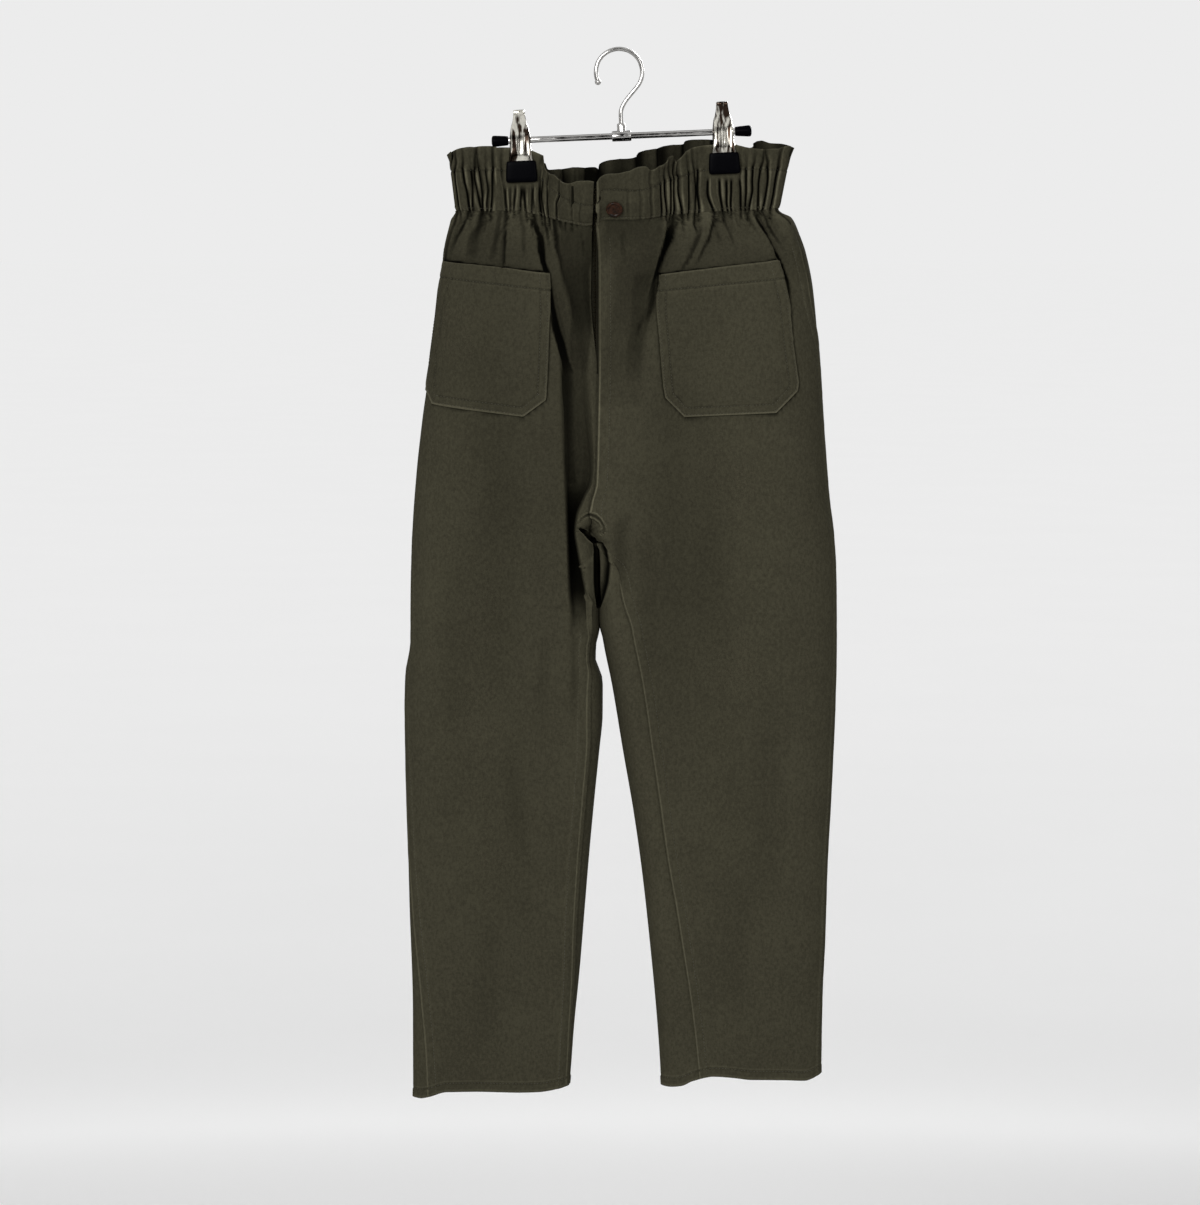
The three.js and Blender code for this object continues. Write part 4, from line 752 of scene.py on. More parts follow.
# Creases between the gathers: x at the frill's edge, the stitch row, mid-casing and the lower edge, how deep
# they are in the frill, in the casing and at the foot of the casing, and how long each runs on below it.
GATHERS_FRONT = named(
    "top stitch mid low frill casing foot run",
    (-155.5, -154.2, -152.5, -150, 3.6, 2.6, 2.4, 10), (-148, -146, -143.3, -140.2, 1.8, 4.6, 4.6, 9),
    (-140, -138.4, -137.2, -137.2, 0.8, 2, 2, 5), (-133.4, -135.2, -133, -128.8, 4.6, 3.6, 3, 6),
    (-132.8, -130.8, -128.2, -127, 4, 4.4, 3.6, 9), (-124, -124.6, -122.6, -123, 1.4, 2.2, 2.4, 6),
    (-117, -117.8, -117.8, -119.4, 2.6, 4.4, 4, 12), (-109.5, -109.6, -107, -104.9, 2.4, 4.2, 4.2, 10),
    (-101, -101.4, -101.8, -101.6, 0.6, 1.4, 1.6, 4), (-98.6, -97.5, -97.2, -98, 0.6, 3.6, 3.6, 8),
    (-92, -91.5, -91, -93, 0.5, 2, 2.2, 5), (-86, -88.8, -88.3, -86.7, 0.8, 4, 4.2, 9),
    (-77.6, -80.4, -80.9, -81.2, 1.2, 4.8, 4.4, 14), (-73.6, -74.6, -75, -73.2, 3, 4.6, 4.2, 8),
    (-70, -71.4, -72, -70.6, 0.8, 2.2, 2.4, 5), (-66.6, -67.8, -67.4, -66.6, 2.2, 3.8, 3.4, 8),
    (-56, -57, -59, -58.5, 2, 2.6, 1.6, 6), (-46, -45, -44.5, -43, 1.6, 1, 0.8, 5),
    (-35, -35.5, -36.5, -36, 0.8, 0.9, 0.7, 4), (8, 8.5, 9, 9, 0.8, 0.7, 0.7, 4),
    (20, 20.5, 21, 21, 0.7, 0.7, 0.8, 4), (30.6, 30, 30.5, 31, 2.2, 1, 0.9, 5),
    (38.6, 39.6, 40.6, 41, 0.8, 2, 1.8, 5), (44.6, 44.6, 45.8, 46.4, 1.6, 4.2, 3.8, 7),
    (49.2, 50, 50.8, 50.4, 2.4, 3.2, 3.2, 6), (55.4, 53.8, 54.2, 53.8, 4.4, 4.8, 4.2, 10),
    (58.6, 57.6, 59, 61.6, 2, 4.8, 4.2, 9), (66.2, 66.6, 67.3, 66.8, 1.4, 3, 2.8, 6),
    (70.6, 73, 74.4, 73.8, 1.4, 4, 3.6, 7), (75, 75.8, 76.2, 76.9, 0.8, 3.2, 3.4, 8),
    (86, 85.2, 84.2, 90.4, 0.8, 4.6, 4.4, 12), (95.4, 95.4, 95.9, 98.6, 0.5, 4.4, 4.6, 12),
    (102.6, 101.6, 101.8, 103.4, 0.5, 2, 2.6, 6), (107.4, 106.8, 106.4, 106.6, 0.8, 3.2, 3.2, 9),
    (115.4, 115, 114.9, 115.6, 1.4, 4.6, 4, 9), (121.6, 120.6, 120.2, 119.6, 1, 2.4, 2.4, 6),
    (128.6, 127, 125.5, 122.8, 1.4, 4.8, 4.6, 12), (137.2, 134, 132, 131.6, 4.6, 3.6, 3.6, 9),
    (138, 141, 140, 136.6, 4.4, 3.2, 3.6, 7), (155.2, 150.2, 147.3, 144.8, 2.4, 4.8, 4.4, 10),
)
BACK_PITCH = (9.0, 6.5, 11.0, 7.5, 5.5, 9.5, 6.0, 12.0, 8.0)  # spacing of the gathers behind, over and over
# Deep turns of the frill behind, which show inside the waist as dark creases.
BACK_TURNS = (-52.0, -31.0, -18.2, 17.2, 37.0, 61.0, 88.0, 129.0)


def back_gathers():
    rows, x, i = [], -147.0, 0
    while x < 147:
        lean = 2.2 * math.sin(1.7 * i)
        strong = 1.0 + 0.4 * math.sin(2.3 * i + 0.6)
        if min(abs(x - turn) for turn in BACK_TURNS) > 3.0:
            frill = 2.2 * strong if i % 3 == 0 else 0.7
            casing = 3.4 * strong
            rows.append((x + lean, x + 0.4 * lean, x, x - 0.6 * lean, frill, casing, casing, 8 + 3 * lean))
        x += BACK_PITCH[i % len(BACK_PITCH)]
        i += 1
    for turn in BACK_TURNS:
        rows.append((turn, turn + 0.8, turn + 1.2, turn + 1.0, -4.0, 2.2, 2.6, 6))
    rows.sort(key=lambda row: row[2])
    return named("top stitch mid low frill casing foot run", *rows)


GATHERS = {"front": GATHERS_FRONT, "back": back_gathers()}
LEVEL_STOPS = (0.0, 0.5, 1.0, 2.0)
CREASE = 1.25  # half-width of a crease in the casing
GATHER_DEPTH = 1.35  # the table's depths are multiplied by this in the band, and by the next below it
FOOT_DEPTH = 1.3
FOOT_RUN = 1.5  # and their runs below the band by this
CREASE_SHOULDER = 0.95  # how bright the painted highlight on a crease's shoulders is
BAND_SHADE = -0.2  # the gathered band lies in its own shade
LINE_WOBBLE = 0.55  # how far a crease strays from its line
NARROWEST = 0.25  # least distance between the lines of two creases
LOWER_ROW_SEED = 40


def crease_profile(r):
    """A narrow crevice with round shoulders, 1 on its line."""
    r = np.abs(r)
    return 0.66 * np.exp(-(r**1.2)) + 0.34 * np.exp(-((r / 3.2) ** 1.7))


def crowded(stops, step):
    """Places between stops that crowd towards every stop."""
    places = []
    for a, b in zip(stops[:-1], stops[1:]):
        count = max(2, round((b - a) / (step * 1.0)))
        t = np.linspace(0, 1, count, endpoint=False)
        places.append(a + (b - a) * (t - 0.72 * np.sin(2 * np.pi * t) / (2 * np.pi)))
    return np.concatenate([*places, [stops[-1]]])


class Gathered:
    """One half of one face of the band: where its creases and its columns run at each level."""

    STEP = 1.16

    def __init__(self, side, face, levels):
        self.side, self.face, self.levels = side, face, levels
        self.halves = [BandHalf(side, level) for level in levels]
        table = GATHERS[face]
        mine = side * (table["mid"] - CENTRE_X) > 0
        self.rows = {key: values[mine] for key, values in table.items()}
        order = np.argsort(side * self.rows["mid"])
        if face == "back":
            order = order[::-1]
        self.rows = {key: values[order] for key, values in self.rows.items()}
        lines = np.stack([self.rows[key] for key in ("low", "mid", "stitch", "top")], axis=-1)
        self.base = 0.0 if face == "front" else 1.0
        middle = self.crease_shares(BandHalf(side, 0.5), lines[:, 1])
        self.middle = middle
        length = self.length(BandHalf(side, 0.5))
        self.columns = self.base + crowded((middle - self.base) * length, self.STEP) / length
        at = np.stack([curve(LEVEL_STOPS, line)(levels) for line in lines], axis=-1)
        wobble = [wander(70 + k, levels + 0.013 * k, 0.33) for k in range(len(lines))]
        at = at + LINE_WOBBLE * np.stack(wobble, axis=-1)
        self.creases = np.stack([self.crease_shares(half, at[i]) for i, half in enumerate(self.halves)])

    def length(self, half):
        return half.front if self.face == "front" else half.back

    def crease_shares(self, half, xs):
        shares = half.places(xs, self.face)
        least = NARROWEST / self.length(half)
        for k in range(1, len(shares)):
            shares[k] = max(shares[k], shares[k - 1] + least)
        shares = np.minimum(shares, self.base + 1 - least * np.arange(len(shares), 0, -1))
        return np.concatenate([[self.base], shares, [self.base + 1]])

    def shares(self, row):
        return np.interp(self.columns, self.middle, self.creases[row])

    def height(self, shares, row):
        """Relief and tone of the gathers along one row. Tone is painted shade below 0 in creases and a
        painted highlight above 0 on their shoulders.
        """
        level = self.levels[row]
        length = self.length(self.halves[row])
        u = (shares - self.base) * length
        lines = (self.creases[row][1:-1] - self.base) * length
        width = CREASE * np.interp(level, [0, 0.5, 1.0, 1.3, 2.0], [0.85, 1.0, 0.95, 1.5, 2.1])
        towards_left = self.side * (1 if self.face == "front" else -1)
        total, tone = np.zeros(len(u)), np.zeros(len(u))
        for k, line in enumerate(lines):
            g = row_of(self.rows, k)
            depth = np.interp(level, [0.0, 0.1, 0.5, 0.93, 1.0, 1.12, 2.0],
                              [g["foot"], g["foot"], g["casing"], g["casing"], 0.75 * g["casing"],
                               0.5 * (g["casing"] + g["frill"]), g["frill"]])
            r = (u - line) / width
            total -= GATHER_DEPTH * depth * crease_profile(r)
            r = towards_left * (u - line) / (CREASE * (1 + 0.3 * (level > 1.1)))
            strength = np.clip(depth / 3.0, 0, 1) * np.interp(level, [1.0, 1.15, 2.0], [1.0, 0.5, 0.4])
            tone = darkest(tone, crease_tone(r, strength))
        return total, tone + BAND_SHADE * smooth(level, -0.05, 0.2)


def gathered_share(x):
    """0 on the flat stretch beside the fly, 1 where the band is gathered."""
    return smooth(np.abs(x - CENTRE_X), 30, 52)


def crease_tone(r, strength):
    """Painted tone across a crease: painted shade along its line and a painted highlight on its shoulders."""
    strength = np.clip(strength, 0, 1)
    darkness = smooth(strength, 0.08, 0.8) ** 0.8
    line = np.exp(-(np.abs(r) ** 3))
    shoulder = bell(r - 1.7, 0.55) + 0.5 * bell(r + 1.7, 0.55)
    return strength * CREASE_SHOULDER * shoulder - darkness * line


def darkest(a, b):
    """Joins two tones: the darker wins where either is dark, otherwise the paler."""
    return np.where(np.minimum(a, b) < -0.03, np.minimum(a, b), np.maximum(a, b))


def foot_creases(side, face, x, below):
    """The ends of the creases that run on below the casing, each spreading and fading: relief, and painted
    shade and highlight.
    """
    table = GATHERS[face]
    shape = np.broadcast(x, below).shape
    total, tone = np.zeros(shape), np.zeros(shape)
    for k in range(len(table["mid"])):
        g = row_of(table, k)
        if side * (g["mid"] - CENTRE_X) <= 0:
            continue
        lean = np.clip((g["low"] - g["mid"]) / 20.0, -0.35, 0.35)
        r = (x - g["low"] - lean * below) / (CREASE * (0.8 + 0.05 * below))
        run = FOOT_RUN * g["run"]
        fade = 1 - smooth(below, 0.15 * run, 1.7 * run)
        total = total - FOOT_DEPTH * g["foot"] * crease_profile(r) * fade
        near = 1 - smooth(below, 0.3 * g["run"], 1.1 * g["run"])
        tone = darkest(tone, crease_tone(r, near * g["foot"] / 3.6))
    return total, tone


def puckers(x, off, seed):
    """The small pinches that a stitch row makes in gathered cloth, off millimetres above or below it."""
    beads = np.cos(2 * np.pi * (x + 0.9 * wander(seed, x, 7.0) + 0.35 * np.abs(off)) / 3.3)
    beads = beads * (0.75 + 0.5 * wander(seed + 2, x, 9.0))
    return 0.45 * beads * bell(off, 2.6) - 0.55 * bell(off, 0.8)


def bead_tone(x):
    """Painted highlight and shade on the pinched cloth along the band's lower stitch row, following its
    puckers.
    """
    return 0.5 * np.clip(puckers(x, np.zeros(x.shape), LOWER_ROW_SEED) + 0.55, -1, 1) - 0.1


# ---------------------------------------------------------------------------------------------
# Meshes
# ---------------------------------------------------------------------------------------------


def grid_normals(p):
    """Outward normals of a grid whose rows run down, and whose columns run to the right as it is seen."""
    return unit(np.cross(np.gradient(p, axis=1), -np.gradient(p, axis=0)))


def linked(name, data):
    """An object in the scene that shows a mesh, a light or a camera."""
    obj = bpy.data.objects.new(name, data)
    bpy.context.scene.collection.objects.link(obj)
    return obj


def make(name, points, faces, material, slot, wear_and_painted_light=None):
    """A smooth mesh piece from points in millimetres, riding on the part's one body."""
    mesh = bpy.data.meshes.new(name)
    mesh.from_pydata((np.asarray(points, float) * MM).tolist(), [], faces)
    mesh.update()
    mesh.polygons.foreach_set("use_smooth", np.ones(len(mesh.polygons), bool))
    # the attribute carries the cloth's rubbing, painted shade and painted highlights
    if wear_and_painted_light is not None:
        layer = mesh.attributes.new("wear_and_painted_light", "FLOAT", "POINT")
        layer.data.foreach_set("value", np.asarray(wear_and_painted_light, np.float32))
    obj = linked(name, mesh)
    mesh.materials.append(material)
    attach(obj, "root")
    return obj


def closed_sheet(p, n, thickness):
    """Points and faces of a shell: p is the outer face, and the inner face lies thickness behind it."""
    rows, columns = p.shape[:2]
    far = rows * columns
    index = np.arange(far).reshape(rows, columns)
    corners = [index[:-1, :-1], index[1:, :-1], index[1:, 1:], index[:-1, 1:]]
    outer = np.stack(corners, axis=-1).reshape(-1, 4)
    faces = [outer, outer[:, ::-1] + far]
    for line in (index[0, :], index[:, -1], index[-1, ::-1], index[::-1, 0]):
        faces.append(np.stack([line[:-1], line[1:], line[1:] + far, line[:-1] + far], axis=-1))
    points = np.concatenate([p.reshape(-1, 3), (p - n * thickness).reshape(-1, 3)])
    return points, np.concatenate(faces).tolist()


INSIDE_TONE = -0.4  # painted shade: the inside of every piece of cloth is painted darker than its face


def cloth_shell(name, p, wear_and_painted_light, material=None, thickness=CLOTH, inside_tone=INSIDE_TONE):
    """A piece of cloth whose outer face is the grid p, with its rubbing, painted shade and painted
    highlights; the inside has a painted shade of its own.
    """
    points, faces = closed_sheet(p, grid_normals(p), thickness)
    inside = np.full(wear_and_painted_light.shape, inside_tone)
    worn_and_shaded = np.concatenate([wear_and_painted_light.reshape(-1), inside.reshape(-1)])
    return make(name, points, faces, material or TWILL, "cloth", worn_and_shaded)


def tucked(p, wear_and_painted_light, edge, reach, sink):
    """Carries a grid on by two columns or rows past one edge, sinking under the piece that lies over it."""
    axis = 0 if edge in ("top", "bottom") else 1
    first = edge in ("top", "left")
    q = np.moveaxis(p, axis, 0)
    worn_and_shaded = np.moveaxis(wear_and_painted_light, axis, 0)
    n = np.moveaxis(grid_normals(p), axis, 0)
    end, inward = (0, 2) if first else (-1, -3)
    along = unit(q[end] - q[inward])
    extra = [q[end] + along * (reach * t)[..., None] - n[end] * (sink * t**0.5)[..., None]
             for t in (np.full(q.shape[1], 0.5), np.ones(q.shape[1]))]
    none = np.zeros((1,) + worn_and_shaded.shape[1:])
    if first:
        q = np.concatenate([extra[1][None], extra[0][None], q])
        worn_and_shaded = np.concatenate([none, none, worn_and_shaded])
    else:
        q = np.concatenate([q, extra[0][None], extra[1][None]])
        worn_and_shaded = np.concatenate([worn_and_shaded, none, none])
    return np.moveaxis(q, 0, axis), np.moveaxis(worn_and_shaded, 0, axis)


def around(count):
    """Angles evenly round a circle."""
    return np.linspace(0, 2 * np.pi, count, endpoint=False)


def ring_faces(rings, count):
    """Faces between rings of count points each, closed at both ends."""
    faces = []
    for k in range(0, (rings - 1) * count, count):
        for j in range(count):
            after = (j + 1) % count
            faces.append((k + j, k + after, k + count + after, k + count + j))
    return faces + [tuple(range(count))[::-1], tuple(range((rings - 1) * count, rings * count))]


def joined(*bodies):
    """Several bodies, each as points and faces, as one."""
    points, faces, first = [], [], 0
    for body_points, body_faces in bodies:
        points.append(np.asarray(body_points, float))
        faces += [tuple(first + int(corner) for corner in face) for face in body_faces]
        first += len(body_points)
    return np.concatenate(points), faces


def lathe(profile, origin, axis, segments=40):
    """A turned body: profile of radius and height along an axis, as points and faces."""
    axis = unit(np.asarray(axis, float))
    side = unit(np.cross(axis, [0.3, 1.0, 0.2]))
    other = np.cross(axis, side)
    angle = around(segments)
    ring = np.cos(angle)[:, None] * side + np.sin(angle)[:, None] * other
    points = [np.asarray(origin) + radius * ring + height * axis for radius, height in profile]
    return np.concatenate(points), ring_faces(len(profile), segments)


class Surface:
    """A finished grid whose columns follow a share that changes from row to row, read between its points."""

    def __init__(self, p, rows, shares):
        self.p, self.n, self.rows, self.shares = p, grid_normals(p), rows, shares
        if shares[0, -1] < shares[0, 0]:
            self.p, self.n, self.shares = self.p[:, ::-1], self.n[:, ::-1], shares[:, ::-1]

    def row(self, i, share):
        p = [np.interp(share, self.shares[i], self.p[i, :, k]) for k in range(3)]
        n = [np.interp(share, self.shares[i], self.n[i, :, k]) for k in range(3)]
        return np.array(p + n)

    def at(self, z, share):
        """Points and normals at row values (z or level) and shares of any equal shape."""
        z, share = np.broadcast_arrays(np.asarray(z, float), np.asarray(share, float))
        down = -self.rows if self.rows[0] > self.rows[-1] else self.rows
        want = -z if self.rows[0] > self.rows[-1] else z
        i = np.clip(np.searchsorted(down, want) - 1, 0, len(down) - 2)
        t = np.clip((want - down[i]) / (down[i + 1] - down[i]), 0, 1)
        out = np.zeros(z.shape + (6,))
        for k in np.unique(i):
            here = i == k
            blend = t[here]
            out[here] = (self.row(k, share[here]) * (1 - blend) + self.row(k + 1, share[here]) * blend).T
        return out[..., :3], unit(out[..., 3:])

    def share_of(self, z, x):
        """Shares on the front at which rows at z have x; past the silhouette, the silhouette's own share."""
        z, x = np.broadcast_arrays(np.asarray(z, float), np.asarray(x, float))
        result = np.zeros(z.shape)
        for place in np.ndindex(z.shape):
            i = int(np.argmin(np.abs(self.rows - z[place])))
            xs = self.p[i, :, 0]
            side = LEFT if abs(xs.max()) > abs(xs.min()) else RIGHT
            last = int(np.argmax(side * xs)) + 1
            rising = np.maximum.accumulate(side * xs[:last])
            result[place] = np.interp(side * x[place], rising, self.shares[i, :last])
        return result


class Seams:
    """Stitches gathered into one mesh: each is a small grain of thread lying on the cloth."""

    def __init__(self):
        self.points, self.faces = [], []

    def sew(self, p, n, width=0.26, rise=0.2):
        a, b = p[:-1], p[1:]
        along = (b - a) * 0.37
        middle = (a + b) / 2 + n[:-1] * 0.03
        across = unit(np.cross(n[:-1], along)) * width
        up = n[:-1] * rise
        corners = np.stack([middle + way * step for step in (along, across, up) for way in (-1, 1)], axis=1)
        first = sum(len(block) for block in self.points)
        faces = ((0, 2, 5), (2, 1, 5), (1, 3, 5), (3, 0, 5), (2, 0, 4), (1, 2, 4), (3, 1, 4), (0, 3, 4))
        offsets = first + 6 * np.arange(len(corners))
        self.points.append(corners.reshape(-1, 3))
        self.faces.append((offsets[:, None, None] + np.array(faces)).reshape(-1, 3))

    def piece(self, name):
        points = np.concatenate(self.points)
        faces = np.concatenate(self.faces).tolist()
        return make(name, points, faces, THREAD, "cloth")


STITCH = 3.0  # length of a stitch with its gap


def evenly(points, pitch=STITCH):
    """Places along a polyline at an even pitch, as shares of its length."""
    points = np.asarray(points, float)
    run = running(points)
    count = max(2, round(run[-1] / pitch))
    at = np.linspace(0, run[-1], count + 1)
    return np.stack([np.interp(at, run, points[:, k]) for k in range(points.shape[1])], axis=-1)


# ---------------------------------------------------------------------------------------------
# Materials
# ---------------------------------------------------------------------------------------------


def linear(r, g, b):
    """A linear colour from one given in the usual 0-255 display values."""
    def one(c):
        c /= 255
        return c / 12.92 if c <= 0.04045 else ((c + 0.055) / 1.055) ** 2.4
    return (one(r), one(g), one(b), 1.0)


class Nodes:
    """Short hand for a material's node tree."""

    def __init__(self, name):
        self.material = bpy.data.materials.new(name)
        self.material.use_nodes = True
        self.tree = self.material.node_tree
        self.tree.nodes.clear()
        self.out = self.add("ShaderNodeOutputMaterial")
        self.shader = self.add("ShaderNodeBsdfPrincipled")
        self.join(self.shader.outputs["BSDF"], self.out.inputs["Surface"])

    def add(self, kind, **settings):
        node = self.tree.nodes.new(kind)
        for key, value in settings.items():
            if hasattr(node, key):
                setattr(node, key, value)
            else:
                node.inputs[key.replace("_", " ")].default_value = value
        return node

    def join(self, a, b):
        self.tree.links.new(a, b)

    def set(self, **values):
        """Sets what is the same all over the surface on the shader's own sockets."""
        for key, value in values.items():
            self.shader.inputs[key.replace("_", " ")].default_value = value

    def feed(self, **values):
        """Joins what changes over the surface to the shader."""
        for key, value in values.items():
            self.join(value, self.shader.inputs[key.replace("_", " ")])

    def position(self, scale=(1, 1, 1), turn=(0, 0, 0)):
        coordinates = self.add("ShaderNodeTexCoord")
        mapping = self.add("ShaderNodeMapping", Scale=scale, Rotation=turn)
        self.join(coordinates.outputs["Object"], mapping.inputs["Vector"])
        return mapping.outputs["Vector"]

    def noise(self, vector, scale, detail=2.0, rough=0.5):
        node = self.add("ShaderNodeTexNoise", Scale=scale, Detail=detail, Roughness=rough)
        self.join(vector, node.inputs["Vector"])
        return node.outputs["Fac"]

    def give(self, node, numbered):
        """Puts numbers, colours or other nodes' outputs into a node's numbered sockets."""
        for number, value in numbered.items():
            if isinstance(value, (tuple, int, float)):
                node.inputs[number].default_value = value
            else:
                self.join(value, node.inputs[number])

    def math(self, kind, a, b):
        node = self.add("ShaderNodeMath", operation=kind)
        self.give(node, {0: a, 1: b})
        return node.outputs[0]

    def blend(self, a, share_a, b, share_b):
        """A sum of two values by their shares."""
        return self.math("ADD", self.math("MULTIPLY", a, share_a), self.math("MULTIPLY", b, share_b))

    def span(self, value, low, high, to_low=0.0, to_high=1.0):
        node = self.add("ShaderNodeMapRange")
        self.join(value, node.inputs["Value"])
        for key, number in (("From Min", low), ("From Max", high), ("To Min", to_low), ("To Max", to_high)):
            node.inputs[key].default_value = number
        return node.outputs["Result"]

    def mix(self, fac, a, b):
        """Colour a where fac is 0, colour b where it is 1."""
        node = self.add("ShaderNodeMix", data_type="RGBA")
        self.give(node, {0: fac, 6: a, 7: b})
        return node.outputs[2]

    def bump(self, height, strength, distance, before=None):
        node = self.add("ShaderNodeBump", Strength=strength, Distance=distance)
        self.join(height, node.inputs["Height"])
        if before is not None:
            self.join(before, node.inputs["Normal"])
        return node.outputs["Normal"]


TWILL_DARK = linear(43, 41, 32)
TWILL_MID = linear(54, 52, 41)
TWILL_YARN = linear(65, 63, 50)
TWILL_RIB = linear(29, 27, 20)
# pale colour where rubbing has faded the cloth, and also the colour of the painted highlights
TWILL_LIGHT = linear(96, 93, 76)
# near-black painted shade for creases, folds, troughs, insides and other shaded places
TWILL_PAINTED_SHADE = linear(2, 2, 1)


def twill(name, turn=0.0):
    """Garment-dyed cotton twill: fine diagonal ribs, heathered yarns, paler where seams and edges rub;
    painted highlights and shade.
    """
    m = Nodes(name)
    flat = m.position()
    rib_turn = m.position(turn=(0, math.radians(27) + turn, 0))
    wave = m.add("ShaderNodeTexWave", wave_type="BANDS", bands_direction="X", wave_profile="SIN",
                 Scale=420.0, Distortion=1.2, Detail=2.0, Detail_Scale=3.0)
    m.join(rib_turn, wave.inputs["Vector"])
    ribs = wave.outputs["Fac"]
    yarn_down = m.noise(m.position(scale=(1, 1, 0.22)), 1500, 2.0, 0.6)
    yarn_across = m.noise(m.position(scale=(0.3, 1, 1)), 1100, 2.0, 0.6)
    cloud = m.noise(flat, 16, 3.0, 0.55)
    mottle = m.noise(m.position(scale=(1, 1, 0.7)), 380, 3.0, 0.7)
    tone = m.blend(mottle, 0.76, cloud, 0.24)
    base = m.mix(m.span(tone, 0.4, 0.6), TWILL_DARK, TWILL_MID)
    fine = m.blend(yarn_down, 0.5, yarn_across, 0.5)
    base = m.mix(m.span(fine, 0.36, 0.66, 0.0, 0.34), base, TWILL_YARN)
    base = m.mix(m.span(ribs, 0.0, 0.5, 0.20, 0.0), base, TWILL_RIB)
    # The mesh attribute read here carries rubbing and painted light together: above 0 it mixes in the pale
    # colour of faded edges and painted highlights, below 0 the near-black painted shade.
    wear_and_painted_light = m.add("ShaderNodeAttribute", attribute_name="wear_and_painted_light").outputs["Fac"]
    paleness = m.math("MULTIPLY", m.span(wear_and_painted_light, 0.0, 1.0), m.span(yarn_down, 0.3, 0.6, 0.55, 1.0))
    base = m.mix(paleness, base, TWILL_LIGHT)
    base = m.mix(m.span(wear_and_painted_light, 0.0, -1.0), base, TWILL_PAINTED_SHADE)
    m.feed(Base_Color=base)
    m.set(Roughness=0.95, Sheen_Weight=0.012, Sheen_Roughness=0.5)
    m.set(Sheen_Tint=linear(120, 116, 96))
    m.set(Specular_IOR_Level=0.02)
    relief = m.blend(ribs, 0.55, fine, 0.9)
    first = m.bump(relief, 0.55, 0.00022)
    m.feed(Normal=m.bump(m.noise(flat, 60, 3.0, 0.6), 0.25, 0.0007, first))
    return m.material


def thread(name):
    m = Nodes(name)
    strands = m.noise(m.position(), 2400, 2.0, 0.5)
    m.feed(Base_Color=m.mix(strands, linear(44, 42, 33), linear(68, 66, 53)))
    m.set(Roughness=0.8, Sheen_Weight=0.05)
    m.set(Specular_IOR_Level=0.2)
    m.feed(Normal=m.bump(strands, 0.5, 0.0001))
    return m.material


def horn(name):
    m = Nodes(name)
    swirl = m.noise(m.position(scale=(1, 1, 1.8)), 260, 5.0, 0.62)
    m.feed(Base_Color=m.mix(m.span(swirl, 0.35, 0.68), linear(10, 5, 2), linear(46, 25, 13)))
    m.feed(Roughness=m.span(swirl, 0.3, 0.7, 0.28, 0.42))
    m.set(Specular_IOR_Level=0.1)
    m.feed(Normal=m.bump(swirl, 0.15, 0.0002))
    return m.material


def chrome(name):
    m = Nodes(name)
    m.set(Metallic=1.0)
    # upright streaks in the base colour are painted reflections, and the same noise varies the roughness like
    # smudges on the plating
    smudge_and_painted_reflection = m.noise(m.position(scale=(1, 1, 0.35)), 180, 4.0, 0.6)
    m.feed(Roughness=m.span(smudge_and_painted_reflection, 0.35, 0.75, 0.07, 0.2))
    m.feed(Base_Color=m.mix(smudge_and_painted_reflection, linear(150, 148, 146), linear(196, 195, 192)))
    m.feed(Normal=m.bump(m.noise(m.position(), 90, 2.0, 0.5), 0.12, 0.0006))
    return m.material


def pressed_steel(name):
    """Thin plated sheet with painted reflections in upright streaks in its base colour; its slight waves also
    draw its reflections out into upright streaks.
    """
    m = Nodes(name)
    m.set(Metallic=1.0)
    streak = m.noise(m.position(scale=(1, 1, 0.09)), 260, 2.0, 0.5)
    band = m.span(streak, 0.44, 0.56)
    cloud = m.noise(m.position(scale=(1, 1, 0.4)), 60, 1.0, 0.5)
    # painted reflections: the base colour runs in upright streaks from dark brown to near white
    painted_dark_reflection = m.mix(cloud, linear(16, 13, 12), linear(70, 56, 46))
    m.feed(Base_Color=m.mix(band, painted_dark_reflection, linear(224, 221, 210)))
    m.feed(Roughness=m.span(streak, 0.35, 0.7, 0.1, 0.2))
    m.feed(Normal=m.bump(streak, 0.3, 0.0012))
    return m.material


def vinyl(name):
    m = Nodes(name)
    grain = m.noise(m.position(), 700, 3.0, 0.6)
    m.feed(Base_Color=m.mix(grain, linear(0, 0, 1), linear(3, 3, 5)))
    m.feed(Roughness=m.span(grain, 0.3, 0.7, 0.34, 0.46))
    m.set(Specular_IOR_Level=0.015)
    m.feed(Normal=m.bump(grain, 0.12, 0.0003))
    return m.material


def brass(name):
    m = Nodes(name)
    tarnish = m.noise(m.position(), 600, 3.0, 0.6)
    m.feed(Base_Color=m.mix(tarnish, linear(16, 14, 10), linear(38, 33, 22)))
    m.set(Metallic=1.0, Roughness=0.42)
    return m.material


TWILL = twill("twill")
THREAD = thread("thread")
HORN = horn("horn_resin")
CHROME = chrome("plated_steel")
SHEET_STEEL = pressed_steel("pressed_steel")
VINYL = vinyl("dipped_vinyl")
BRASS = brass("zip_brass")
TAPE = twill("zip_tape_weave", 0.9)

# ---------------------------------------------------------------------------------------------
# Leg panels
# ---------------------------------------------------------------------------------------------

LEG_ROWS = spread([
    (WAIST_Z, -172, 1.1), (-172, -220, 1.7), (-220, -300, 2.6), (-300, -392, 4.4), (-392, -430, 2.0),
    (-430, -480, 1.05), (-480, -530, 1.8), (-530, -560, 3.0), (-560, HEM_Z + 34, 8.0),
    (HEM_Z + 34, HEM_Z, 1.7),
])
BAND_LEVELS = spread([(0.0, 0.16, 0.02), (0.16, 0.9, 0.05), (0.9, 1.14, 0.022), (1.14, 2.0, 0.06)])
FLY_END_Z = -318.0
FLY_GAP = 4.8  # the right front stops this far short of the centre, where the zip shows
TUCK = 3.2  # how far one panel runs on under another at a seam
